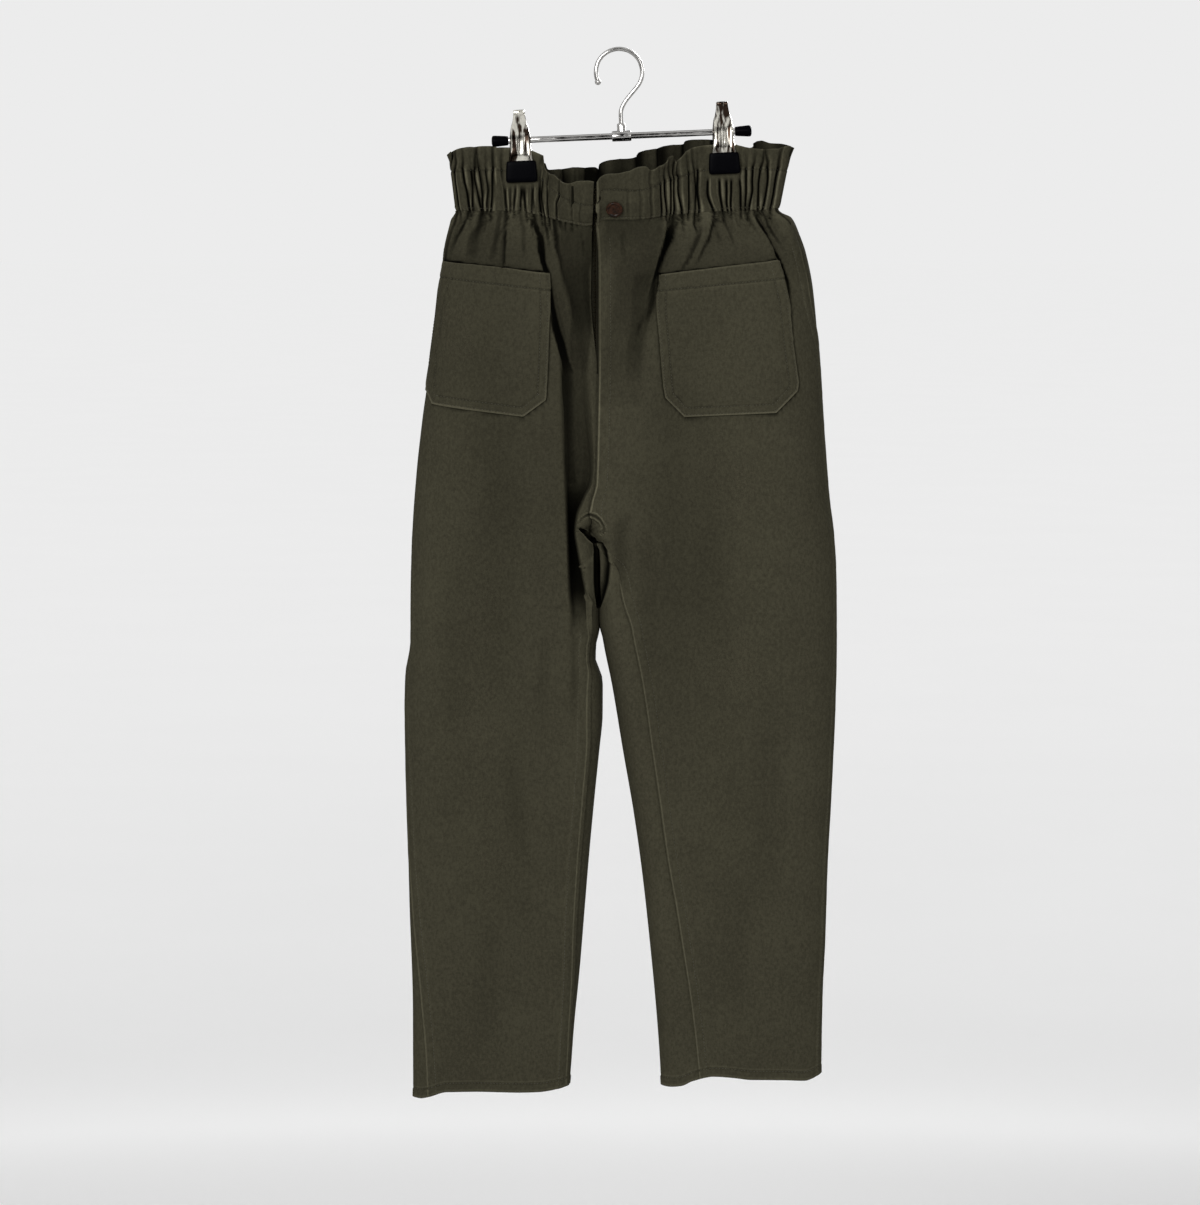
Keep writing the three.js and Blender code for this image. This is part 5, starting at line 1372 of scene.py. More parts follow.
# Lines about the crotch point, where four panels meet: their x and z, half-width, depth, painted shade, and
# painted highlight on the rim.
CROTCH_LINES = (
    # the seam's arch over the gusset of gathered cloth
    (
     ((-37.7, -443.5), (-34, -439), (-30, -436.4), (-26, -435.4), (-21, -437), (-17, -440.6),
      (-13.6, -446), (-13.4, -450.5), (-16, -454.5)),
     1.25, 0.9, 0.7, 0.55),
    (((-27.6, -437), (-24.4, -440), (-24.4, -444), (-26.4, -449)), 0.6, 0.6, 0.6, 0.15),
    (((-24, -439), (-20, -442), (-17, -446.5), (-15.6, -449)), 0.6, 0.6, 0.5, 0.15),
    # the slit between the tongue and the wearer's left leg
    (((-35.4, -449.6), (-31, -452.6), (-26.5, -457.6), (-22.5, -461.6), (-17.5, -463.6)), 1.7, 2.6, 1, 0.75),
    (((-22.5, -459.5), (-20.4, -470), (-20, -485), (-20, -500), (-19, -522)), 2.4, 2, 1, 0.45),
    (((-16, -463.5), (-12.4, -471), (-10.8, -482), (-12.4, -499), (-18.4, -524)), 2.9, 2.5, 1, 0.25),
)


def nearest(points, x, z):
    """Distance from places to a line of points in x and z, and the share of its length that is nearest."""
    points = np.asarray(points, float)
    lengths = np.linalg.norm(np.diff(points, axis=0), axis=1)
    run = np.concatenate([[0], np.cumsum(lengths)])
    away = np.full(np.shape(x), np.inf)
    share = np.zeros(np.shape(x))
    for k, length in enumerate(lengths):
        (ax, az), (bx, bz) = points[k], points[k + 1]
        t = np.clip(((x - ax) * (bx - ax) + (z - az) * (bz - az)) / length**2, 0, 1)
        d = np.hypot(x - ax - t * (bx - ax), z - az - t * (bz - az))
        share = np.where(d < away, (run[k] + t * length) / run[-1], share)
        away = np.minimum(away, d)
    return away, share


# The two long edges of each pocket from the mouth down: inner x and z, outer x and z.
POCKET_OUTLINE = {
    LEFT: named(
        "down x_in z_in x_out z_out",
        (0, 36.9, -209.5, 151.4, -198.3), (0.25, 36.4, -243, 159.6, -233), (0.55, 39.5, -282, 164.4, -278),
        (0.8, 42.2, -314, 169.3, -311), (0.86, 44.2, -325, 168.0, -319), (1, 62.3, -343.1, 148.2, -339.3),
    ),
    RIGHT: named(
        "down x_in z_in x_out z_out",
        (0, -65.3, -208.7, -163.5, -197.3), (0.25, -64.2, -243, -170.6, -233),
        (0.6, -65.7, -290, -179, -282), (0.84, -67.5, -325, -180.4, -316),
        (0.86, -68.4, -327.6, -180.4, -319), (1, -89.3, -342.9, -174.4, -331.7),
    ),
}
POCKET_HEIGHT, POCKET_WIDTH = 140.0, 115.0
MOUTH_HEM = 15.5
INNER_ROW = 8.5
EDGE_ROW = 1.9


def pocket_edges(side):
    """The pocket's outline in x and z, from the mouth's inner end round the bottom to its outer end."""
    t = POCKET_OUTLINE[side]
    inner = list(zip(t["x_in"], t["z_in"]))
    outer = list(zip(t["x_out"], t["z_out"]))
    return np.array(inner + outer[::-1])


def pocket_shadow(side, x, z):
    """Tone on the leg close round its pocket: dark along the gaping mouth, thin along the sewn edges."""
    line = pocket_edges(side)
    mouth, _ = nearest(line[[0, -1]], x, z)
    edge, _ = nearest(line, x, z)
    under_mouth = 0.97 * np.exp(-((mouth / 1.7) ** 4)) + 0.3 * np.exp(-mouth / 5.0)
    return -np.clip(np.maximum(under_mouth, 0.75 * bell(edge, 1.3)), 0, 1)


HALVES = [(side, face) for side in (LEFT, RIGHT) for face in ("front", "back")]
gathered = {half: Gathered(*half, BAND_LEVELS) for half in HALVES}
legs = {side: Leg(side, LEG_ROWS) for side in (LEFT, RIGHT)}


def pressed(distance, lift, width, rows, paleness=0.42):
    """A seam allowance pressed to this side and sewn down: its height, and where rubbing has paled its edge.
    """
    edge = 1 - smooth(distance, 0.0, 1.5)
    strip = 1 - smooth(distance, width - 1.0, width + 1.4)
    wave = 0.5 * wander(5, rows, 7.0) + 0.5 * wander(6, rows, 3.1)
    row = bell(distance - width, 1.2)
    height = lift * strip + 0.35 * edge - 0.5 * row * (0.8 + 0.5 * wave) + 0.14 * wave * strip
    rub = bell(distance - 1.3, 0.7)
    return height, paleness * rub + 0.1 * row - 0.7 * bell(distance, 0.6)


def leg_relief(side, face, p):
    """Fine relief of a leg panel, whose columns run from the centre line or inseam to the side, with the
    paled edges of its seams and hem and the painted shade and highlights of the crotch lines.
    """
    x, z = p[:, :, 0], p[:, :, 2]
    step = np.linalg.norm(np.diff(p, axis=1), axis=2)
    run = np.concatenate([np.zeros((len(p), 1)), np.cumsum(step, axis=1)], axis=1)
    from_inner = run if face == "front" else run[:, -1:] - run
    from_side = run[:, -1:] - run if face == "front" else run
    low = smooth(-z, 452, 470)
    height, wear_and_painted_light = np.zeros(z.shape), np.zeros(z.shape)

    def add(part, here):
        nonlocal height, wear_and_painted_light
        height = height + part[0] * here
        wear_and_painted_light = darkest(wear_and_painted_light, part[1] * here)

    sides = smooth(-z, 160, 190)
    if face == "front":
        on_tongue = smooth(z, -522, -508) if side == RIGHT else 0.0
        add(pressed(from_inner, 1.0, 10.0, z), low * (1 - on_tongue))
        add(pressed(from_side, 0.8, 10.0, z), sides)
        if side == LEFT:
            # the fly's flap, and below it the centre seam as far as the crotch
            paleness = 0.8 - 0.45 * smooth(z, FLY_END_Z, FLY_END_Z + 60)
            add(pressed(from_inner, 1.2, 9.0, z, paleness), 1 - low)
            height = height + 1.7 * (1 - smooth(from_inner, 0.0, 6.0)) * smooth(z, FLY_END_Z, -210)
        else:
            height = height - 2.4 * (1 - smooth(from_inner, 0.5, 8.0)) * smooth(z, FLY_END_Z, -230)
            height = height - 0.5 * (1 - smooth(from_inner, 0.0, 3.0)) * (1 - low)
    else:
        height = height - 0.4 * (1 - smooth(from_inner, 0.0, 4.0)) * low
        height = height - 0.4 * (1 - smooth(from_side, 0.0, 4.0)) * sides
        if side == LEFT:
            add(pressed(from_inner, 1.0, 9.0, z), 1 - low)
        else:
            height = height - 0.4 * (1 - smooth(from_inner, 0.0, 4.0)) * (1 - low)
    above = z - p[-1:, :, 2]
    fold = 1 - smooth(above, LOW_STITCH - 0.7, LOW_STITCH + 0.9)
    row = bell(above - LOW_STITCH, 1.1)
    ripple = wander(12 + side, x, 8.0) + 0.6 * wander(13 + side, x + 0.7 * above, 3.6)
    height = height + 0.6 * fold - 0.45 * row * (1 + 0.4 * ripple) + 0.35 * ripple * bell(above - 6, 7)
    wear_and_painted_light = np.maximum(wear_and_painted_light, 0.45 * bell(above - 0.8, 0.9))
    wear_and_painted_light = darkest(wear_and_painted_light, 0.2 * bell(above - LOW_STITCH - 1.6, 0.9) - 0.25 * row)
    in_front = smooth(-p[:, :, 1], -1.0, 2.0)
    inner = smooth(-p[:, :, 1], -30.0, -24.0)
    # painted shade in the crotch lines and a painted highlight on their rims
    for points, width, depth, shade, rim in CROTCH_LINES:
        away, share = nearest(points, x, z)
        r = away / (width * (0.25 + 0.75 * np.sin(np.pi * np.clip(share, 0.04, 0.96)) ** 0.6))
        height = height - depth * np.exp(-(r**2.4)) * in_front
        wear_and_painted_light = np.where(r < 1.35, np.minimum(wear_and_painted_light, -shade * np.exp(-((r / 0.95) ** 4)) * inner), wear_and_painted_light)
        pale = rim * bell(r - 1.7, 0.45) * in_front
        wear_and_painted_light = np.where(wear_and_painted_light > -0.1, np.maximum(wear_and_painted_light, pale), wear_and_painted_light)
    return height, wear_and_painted_light


def slow_waves(side, face, p):
    """Broad, low undulations of hanging cloth, different on every panel."""
    x, z = p[:, :, 0], p[:, :, 2]
    seed = 31 + 7 * side + (3 if face == "front" else 0)
    lean = x + 0.06 * (z + 400)
    wave = 1.5 * wander(seed, lean, 46.0) + 0.7 * wander(seed + 1, lean + 0.02 * z, 21.0)
    wave = wave * (0.75 + 0.25 * wander(seed + 2, z, 180.0)) + 0.5 * wander(seed + 4, z + 0.3 * x, 60.0)
    return wave * smooth(-z, 165, 230)


def leg_shares(side, face):
    group = gathered[(side, face)]
    top = group.shares(0)
    even = np.linspace(0, 1, len(top))
    low = even**1.3 if face == "front" else 1 + even
    w = smooth(WAIST_Z - LEG_ROWS, 22, 100)[:, None]
    shares = top * (1 - w) + low * w
    if face == "front" and side == RIGHT:
        length = np.interp(LEG_ROWS, [-500, WAIST_Z], [180.0, 132.0])
        gap = (FLY_GAP * smooth(LEG_ROWS, FLY_END_Z, FLY_END_Z + 90) / length)[:, None]
        shares = gap + (1 - gap) * shares
    return shares


# Painted light just under the gathered band, where the cloth stands out, and painted shade below, where it
# falls back.
BELOW_BAND = named(
    "below tone",
    (0, 0.22), (3, 0.22), (12, 0.08), (26, -0.08), (42, -0.16), (56, -0.12), (72, 0),
)
LEAST_ROOM = 0.4  # a crease never comes closer than this to the middle of the flat garment


def within(height, room):
    """Relief whose hollows stay inside the room that the cloth has behind it."""
    return np.where(height < 0, -room * np.tanh(-height / np.maximum(room, LEAST_ROOM)), height)


def leg_panel(side, face):
    name = f"leg_{face}_{SIDE_NAME[side]}"
    shares = leg_shares(side, face)
    base = legs[side].grid(shares)
    turn = TOWARDS_LEFT[side]
    p = base[:, turn]
    n = grid_normals(p)
    x, z = p[:, :, 0], p[:, :, 2]
    below = (WAIST_Z - LEG_ROWS)[:, None]
    facing = np.clip(np.abs(n[:, :, 1]) * 1.3 - 0.15, 0, 1)
    # the folds and the creases' ends carry painted shade and highlights along with their relief
    folds, tone = fold_height(FOLDS_FRONT if face == "front" else FOLDS_BACK, x, z)
    folds, tone = folds * facing * smooth(below, 0.0, 6.0), tone * facing * (1.0 if face == "front" else 0.6)
    feet, feet_tone = foot_creases(side, face, x, below)
    tone = darkest(tone, feet_tone)
    if face == "front":
        # painted shade and highlights of the strokes, and the painted shadow round the pockets
        lines, lines_tone = stroke_relief(FRONT_STROKES, x, z)
        seen = np.clip(3 * np.abs(n[:, :, 1]), 0, 1)
        folds = folds + lines * seen
        tone = darkest(tone, lines_tone * seen)
        tone = np.minimum(tone, pocket_shadow(side, x, z))
    if face == "front" and side == RIGHT:
        # painted shade in the trough
        tone = np.minimum(tone, trough_tone(x, z))
    # painted highlight and shade on the pinched beads under the band, painted shade just under the band
    # beside the fly, and the painted light and shade below the band
    away = gathered_share(x)
    lower_row = bell(below, 2.6) * bead_tone(x) * away
    tone = np.where(tone < -0.25, tone, tone + lower_row) - 0.25 * bell(below, 1.4) * (1 - away)
    lit = away * np.interp(below, BELOW_BAND["below"], BELOW_BAND["tone"])
    tone = np.where(tone < -0.2, np.minimum(tone + 0.5 * lit, 0), tone + lit)
    height = folds + slow_waves(side, face, p) * facing + feet
    height = height + puckers(x, below + 2.2, LOWER_ROW_SEED) * (1 - smooth(below, 2, 9))
    height = np.where(z > -230, within(height, np.abs(p[:, :, 1]) - 1.2), height)
    p = p + n * height[..., None]
    fine, wear_and_painted_light = leg_relief(side, face, p[:, turn])
    p = p + grid_normals(p) * fine[:, turn][..., None]
    wear_and_painted_light = wear_and_painted_light[:, turn]
    wear_and_painted_light = np.where((wear_and_painted_light > 0.05) & (tone > -0.35), wear_and_painted_light + tone, darkest(tone, wear_and_painted_light))
    if face == "front":
        # painted shade of the front's broad hollows
        wear_and_painted_light = np.where(wear_and_painted_light > -0.5, wear_and_painted_light + broad_shade(x, z), wear_and_painted_light)
    surfaces[(face, side)] = Surface(p, LEG_ROWS, shares[:, turn])
    # under panels run on beneath their neighbours
    p, wear_and_painted_light = tucked(p, wear_and_painted_light, "top", TUCK, 0.9)
    if face == "back":
        for edge in ("left", "right"):
            p, wear_and_painted_light = tucked(p, wear_and_painted_light, edge, TUCK, 1.0)
    elif side == RIGHT:
        rows_z = np.concatenate([LEG_ROWS[:1], LEG_ROWS[:1], LEG_ROWS])
        reach = TUCK * (1 - smooth(rows_z, FLY_END_Z, FLY_END_Z + 40))
        p, wear_and_painted_light = tucked(p, wear_and_painted_light, "right", np.maximum(reach, 0.1), 0.9)
    obj = cloth_shell("vis_" + name, p, wear_and_painted_light)
    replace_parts(obj, name)
    return obj


surfaces, cloth, seams = {}, {}, {}
for side, face in HALVES:
    cloth[(face, side)] = leg_panel(side, face)

# ---------------------------------------------------------------------------------------------
# Waistband panels
# ---------------------------------------------------------------------------------------------

# Where the clips press the band flat: the middle of each pad, and its lower edge.
CLIP_X = {LEFT: 99.0, RIGHT: -92.0}
PAD_LOW = {LEFT: -117.5, RIGHT: -124.5}


def band_half(side, face):
    """Points, relief and tone of half of the band on one face, with its pale frill edge and the gathers'
    painted shade and highlights, columns by rising share, rows upwards.
    """
    group = gathered[(side, face)]
    rows, relief, tones, shares = [], [], [], []
    for i, half in enumerate(group.halves):
        share = group.shares(i)
        if face == "front" and side == RIGHT:
            gap = FLY_GAP / half.front
            share = gap + (1 - gap) * share
        rows.append(half.at(share))
        height, tone = group.height(share, i)
        relief.append(height)
        tones.append(tone)
        shares.append(share)
    p, height, tone, shares = (np.array(part) for part in (rows, relief, tones, shares))
    level = BAND_LEVELS[:, None]
    x, z = p[:, :, 0], p[:, :, 2]
    height = height + 1.7 * (1 - smooth(level, 1.05, 1.7)) * gathered_share(x)
    at_clip = 1 - smooth(np.abs(x - CLIP_X[side]), 13.5, 20.0)
    free = 1 - at_clip * smooth(z, PAD_LOW[side] - 7.0, PAD_LOW[side] + 0.5)
    height = height * free
    height = within(height, np.abs(p[:, :, 1]) - 1.3)
    frill = smooth(level, 1.05, 2.0) * free
    seed = 21 if face == "front" else 27
    height = height + frill * (1.6 * wander(seed, x, 15.0) + 0.7 * wander(seed + 3, x, 6.0))
    foot_z, row_z = z[0:1], z[np.argmin(np.abs(BAND_LEVELS - 1.0))][None]
    height = height + free * (puckers(x, z - foot_z - 2.2, LOWER_ROW_SEED) + puckers(x, z - row_z, 44))
    height = height - 1.1 * (1 - smooth(level, 0.0, 0.06)) * smooth(np.abs(x - CENTRE_X), 16, 40)
    edge = 0.55 * np.exp(-((2.0 - level) / 0.05))
    upper_row = 0.3 * bell(level - 1.0, 0.025)
    # painted highlight and shade on the pinched beads of the lower stitch row
    lower_row = bell(level - 0.05, 0.06) * bead_tone(x)
    tone = tone * free - upper_row
    tone = np.where(tone < -0.1, tone, tone + lower_row * gathered_share(x))
    wear_and_painted_light = np.where(tone < -0.03, tone + 0.7 * edge, np.maximum(tone, edge))
    if face == "front":
        gap = np.abs(x - CENTRE_X)
        if side == LEFT:
            height = height + 2.2 * (1 - smooth(gap, 0, 7))
            wear_and_painted_light = np.where(gap < 4, np.maximum(wear_and_painted_light, 0.3 * bell(gap - 0.9, 0.9)), wear_and_painted_light)
        else:
            height = height - 2.6 * (1 - smooth(gap, 3, 12))
    return p, height, wear_and_painted_light, shares


def band_panel(name, halves):
    """Makes one band panel from one or two halves, each as points, relief and tone with rows upwards; its
    inside gets painted shade.
    """
    p, height, wear_and_painted_light = (np.concatenate(parts, axis=1)[::-1] for parts in zip(*halves))
    p = p + grid_normals(p) * height[..., None]
    x = p[:, :, 0]
    # painted shade inside the waist: darker in the deep turns of the frill behind and further down inside,
    # with a random unevenness
    turned = sum(bell(x - turn, 1.5) + 0.5 * bell(x - turn - 4, 4) for turn in BACK_TURNS)
    deep = 0.25 * smooth(-p[:, :, 2], 108, 121)
    inside_tone = np.clip(INSIDE_TONE - 0.15 + 0.25 * wander(77, x, 11.0) - 0.6 * turned - deep, -0.98, 0)
    obj = cloth_shell("vis_" + name, p, wear_and_painted_light, inside_tone=inside_tone)
    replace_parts(obj, name)
    return obj, p[::-1]


for side in (LEFT, RIGHT):
    name = "waistband_front_" + SIDE_NAME[side]
    p, height, wear_and_painted_light, shares = band_half(side, "front")
    turn = TOWARDS_LEFT[side]
    obj, made = band_panel(name, [(p[:, turn], height[:, turn], wear_and_painted_light[:, turn])])
    cloth[("band_front", side)] = obj
    surfaces[("band_front", side)] = Surface(made[::-1], BAND_LEVELS[::-1], shares[::-1][:, turn])

left_half = band_half(LEFT, "back")
right_half = band_half(RIGHT, "back")
mirrored = [part[:, ::-1][:, 1:] for part in right_half[:3]]
obj, made = band_panel("waistband_back", [left_half[:3], mirrored])
cloth[("band_back", 0)] = obj
centre_column = left_half[0].shape[1] - 1
down = BAND_LEVELS[::-1]
surfaces[("band_back", LEFT)] = Surface(made[::-1, :centre_column + 1], down, left_half[3][::-1])
surfaces[("band_back", RIGHT)] = Surface(made[::-1, centre_column:], down, right_half[3][::-1, ::-1])

# ---------------------------------------------------------------------------------------------
# Patch pockets
# ---------------------------------------------------------------------------------------------

def pocket_relief(side, x, z):
    """Height of a pocket's face over the leg, and how far rubbing has paled it, with the front's painted
    broad shade added.
    """
    line = pocket_edges(side)
    from_edge, _ = nearest(line, x, z)
    mouth, _ = nearest(line[[0, -1]], x, z)
    middle = smooth(from_edge, 4, 34)
    gape = (1 - smooth(mouth, 0, 30)) * smooth(from_edge, 2, 34)
    ripple = wander(51 + side, x + 0.4 * z, 9.0)
    fold = 1 - smooth(from_edge, INNER_ROW - 0.8, INNER_ROW + 0.8)
    hem = 1 - smooth(mouth, MOUTH_HEM - 0.8, MOUTH_HEM + 0.8)
    height = CLOTH + 0.35 + 0.8 * middle + 1.1 * gape + 0.45 * fold + 0.45 * hem
    height = height - 0.45 * bell(from_edge - INNER_ROW, 0.9) * (1 - hem)
    height = height - 0.3 * bell(from_edge - EDGE_ROW, 0.7)
    height = height - 0.45 * bell(mouth - MOUTH_HEM, 0.9)
    height = height + 0.10 * ripple * (fold + hem)
    paleness = 0.2 + 0.3 * smooth(-z, 290, 335)
    wear_and_painted_light = paleness * bell(from_edge - 0.7, 0.8)
    wear_and_painted_light = np.maximum(wear_and_painted_light, 0.3 * bell(mouth - 0.7, 0.8))
    wear_and_painted_light = np.maximum(wear_and_painted_light, 0.16 * bell(mouth - MOUTH_HEM - 1.4, 0.9))
    wear_and_painted_light = darkest(wear_and_painted_light, -0.3 * bell(mouth - MOUTH_HEM, 0.8))
    wear_and_painted_light = darkest(wear_and_painted_light, -0.28 * bell(from_edge - INNER_ROW, 0.8) * (1 - hem))
    return height, wear_and_painted_light + broad_shade(x, z)


def pocket(side):
    name = "pocket_" + SIDE_NAME[side]
    leg = surfaces[("front", side)]
    outline = POCKET_OUTLINE[side]
    corner = outline["down"][-3] * POCKET_HEIGHT
    upper = spread([(0, 18, 0.9), (18, corner, 3.0)])
    lower = spread([(corner, POCKET_HEIGHT, 0.9)])
    down = np.concatenate([upper, lower[1:]]) / POCKET_HEIGHT
    far = POCKET_WIDTH - INNER_ROW - 2.5
    across = spread([(0, 11, 0.85), (11, far, 2.6), (far, POCKET_WIDTH, 0.85)]) / POCKET_WIDTH
    ends = {key: np.interp(down, outline["down"], outline[key]) for key in outline if key != "down"}
    share_in = leg.share_of(ends["z_in"], ends["x_in"])
    share_out = leg.share_of(ends["z_out"], ends["x_out"])
    share = share_in[:, None] + (share_out - share_in)[:, None] * across
    z = ends["z_in"][:, None] + (ends["z_out"] - ends["z_in"])[:, None] * across
    if side == RIGHT:
        share, z = share[:, ::-1], z[:, ::-1]
    p, n = leg.at(z, share)
    height, wear_and_painted_light = pocket_relief(side, p[:, :, 0], z)
    p = p + n * height[..., None]
    obj = cloth_shell("vis_" + name, p, wear_and_painted_light)
    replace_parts(obj, name)
    rows = Seams()
    line = pocket_edges(side)
    centre = line.mean(axis=0)

    def inset(points, by):
        """The outline moved in by a distance, corner by corner."""
        moved = []
        for k in range(len(points)):
            before = points[max(k - 1, 0)]
            after = points[min(k + 1, len(points) - 1)]
            along = after - before
            across_it = np.array([-along[1], along[0]]) / np.hypot(*along)
            across_it *= np.sign(np.dot(centre - points[k], across_it))
            moved.append(points[k] + across_it * by)
        return np.array(moved)

    for path in (inset(line, EDGE_ROW), inset(line, INNER_ROW), line[[0, -1]] - np.array([0, MOUTH_HEM])):
        path = evenly(path)
        lift, _ = pocket_relief(side, path[:, 0], path[:, 1])
        at, out = leg.at(path[:, 1], leg.share_of(path[:, 1], path[:, 0]))
        rows.sew(at + out * (lift + 0.1)[:, None], out)
    seams["pocket", side] = rows.piece("stitches_" + name)
    return obj


for side in (LEFT, RIGHT):
    cloth[("pocket", side)] = pocket(side)

# ---------------------------------------------------------------------------------------------
# Fly: shield, zip and button
# ---------------------------------------------------------------------------------------------


def front_at(side, distance, z):
    """The finished front at a distance from the centre line, on either side."""
    leg = surfaces[("front", side)]
    length = np.interp(z, [-500, WAIST_Z], [185.0, 132.0])
    return leg.at(z, distance / length)


SHIELD_Z = (-127.0, -306.0)
SHIELD_BEHIND = 3.6
SHIELD_TONE, TAPE_TONE = -0.88, -0.75  # both lie deep in the shade of the fly
TAPE_THICKNESS = 0.5
ZIP_X = -21.3
# The lower four corners of a tooth.
TOOTH = ((-1.2, -0.7, -0.6), (1.2, -0.7, -0.6), (1.2, 0.7, -0.8), (-1.2, 0.7, -0.8))
TOOTH_PITCH = 2.4


def shield_point(x, z):
    """The inside of the fly: a surface a little behind both fronts."""
    x, z = np.broadcast_arrays(np.asarray(x, float), np.asarray(z, float))
    below = np.minimum(z, -170.0)
    distance = np.abs(x - CENTRE_X)
    right, _ = front_at(RIGHT, distance, below)
    left, _ = front_at(LEFT, distance, below)
    is_right = x < CENTRE_X
    y_leg = np.where(is_right, right[..., 1] + 0.2, left[..., 1] + 2.0) + SHIELD_BEHIND
    y_band = np.interp(z, [-164, -144, -120], [-34.0, -42.0, -47.0]) + SHIELD_BEHIND + 4.5
    y_band = y_band + 0.15 * np.maximum(distance - 8.0, 0.0)
    t = smooth(z, -170, -158)
    return np.stack([x, y_leg * (1 - t) + y_band * t, z], axis=-1)


def fly():
    z = spread([(SHIELD_Z[0], SHIELD_Z[1], 3.0)])
    x = np.linspace(-44, -9, 26)
    grid_x, grid_z = np.meshgrid(x, z)
    p = shield_point(grid_x, grid_z)
    p[:, :, 1] += 0.3 * wander(61, grid_z, 17.0)
    obj = cloth_shell("vis_fly_shield", p, np.full(grid_x.shape, SHIELD_TONE))
    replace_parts(obj, "fly_shield")
    tape_x = np.linspace(ZIP_X - 5, ZIP_X + 5, 9)
    grid_x, grid_z = np.meshgrid(tape_x, z[1:-1])
    p = shield_point(grid_x, grid_z)
    p[:, :, 1] -= 0.9
    tape = cloth_shell("zip_tape", p, np.full(grid_x.shape, TAPE_TONE), TAPE, TAPE_THICKNESS)
    corners = np.array(TOOTH + tuple((dx, dy, -dz) for dx, dy, dz in TOOTH))
    bodies = []
    for k, height in enumerate(np.arange(-130, -296, -TOOTH_PITCH)):
        middle = shield_point(ZIP_X + (0.5 if k % 2 else -0.5), height) + np.array([0, -1.5, 0])
        bodies.append((middle + corners, ring_faces(2, len(TOOTH))))
    teeth = make("zip_teeth", *joined(*bodies), BRASS, "chrome")
    return obj, tape, teeth


shield, zip_tape, zip_teeth = fly()


BUTTON_LEVEL = 0.365
BUTTON_DISTANCE = 21.5  # from the centre line
BUTTON_LIFT = 0.9
BUTTON_PROFILE = (
    (2, -1.2), (6.4, -0.4), (7.3, 0.1), (7.7, 0.8), (7.8, 1.4), (7.6, 2.1), (7.1, 2.6), (6.5, 2.75),
    (5.9, 2.6), (5.3, 2.1), (4.9, 1.85), (3.4, 1.75), (1.8, 1.9), (1, 2.1), (0.3, 2.15),
)


def button():
    band = surfaces[("band_front", LEFT)]
    share = BUTTON_DISTANCE / BandHalf(LEFT, BUTTON_LEVEL).front
    p, n = band.at(np.array([BUTTON_LEVEL]), np.array([share]))
    turned = lathe(BUTTON_PROFILE, p[0] + n[0] * BUTTON_LIFT, n[0], 48)
    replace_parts(make("vis_button", *turned, HORN, "button"), "button")


button()

# ---------------------------------------------------------------------------------------------
# Stitch rows of the long seams, the band and the hems
# ---------------------------------------------------------------------------------------------


ALLOWANCE = 10.0  # a seam's stitch row lies this far from the seam
BAND_ROW_LEVELS = (0.07, 1.0)
BAND_STITCH = 2.6


def rows_of(surface, z_line, share_line, pitch=STITCH):
    """Points and normals along a line on a surface at an even stitch pitch."""
    rough, _ = surface.at(z_line, share_line)
    run = running(rough)
    at = np.linspace(0, run[-1], max(3, round(run[-1] / pitch)) + 1)
    return surface.at(np.interp(at, run, z_line), np.interp(at, run, share_line))


def leg_seams(side, face):
    surface = surfaces[(face, side)]
    rows = Seams()
    half = 0 if face == "front" else 1
    z = np.linspace(-470 if side == LEFT else -548, HEM_Z + 3, 120)
    width = np.interp(z, [HEM_Z, -700, -470], [150.0, 190.0, 215.0])
    if face == "front":
        rows.sew(*rows_of(surface, z, ALLOWANCE / width))
        z_side = np.linspace(-185, HEM_Z + 3, 160)
        side_width = np.interp(z_side, [HEM_Z, -470, -185], [150.0, 215.0, 190.0])
        rows.sew(*rows_of(surface, z_side, 1 - ALLOWANCE / side_width))
    centre_z = np.linspace(-168, -440, 70)
    centre_width = np.interp(centre_z, [-440, -168], [210.0, 150.0])
    if side == LEFT:
        share = 9.0 / centre_width
        rows.sew(*rows_of(surface, centre_z, share if face == "front" else 2 - share))
    share = np.linspace(0.01, 0.99, 60) + half
    rows.sew(*rows_of(surface, np.full(60, HEM_Z + LOW_STITCH), share))
    return rows.piece(f"stitches_leg_{face}_{SIDE_NAME[side]}")


for side, face in HALVES:
    seams[face, side] = leg_seams(side, face)

for side in (LEFT, RIGHT):
    for face, key, low in (("front", "band_front", 0.0), ("back", "band_back", 1.0)):
        rows = Seams()
        share = np.linspace(low + 0.02, low + 0.985, 900)
        for level in BAND_ROW_LEVELS:
            rows.sew(*rows_of(surfaces[key, side], np.full(len(share), level), share, BAND_STITCH))
        seams[key, side] = rows.piece(f"stitches_{key}_{SIDE_NAME[side]}")

# ---------------------------------------------------------------------------------------------
# Hanger
# ---------------------------------------------------------------------------------------------

HANGER_TILT = math.radians(2.35)
BAR_DROP = 80.0
BAR_RADIUS = 3.0
BAR_LENGTH = 240.0
CLIP_SPAN = 191.4
HOOK_INSIDE, WIRE = 20.0, 2.0
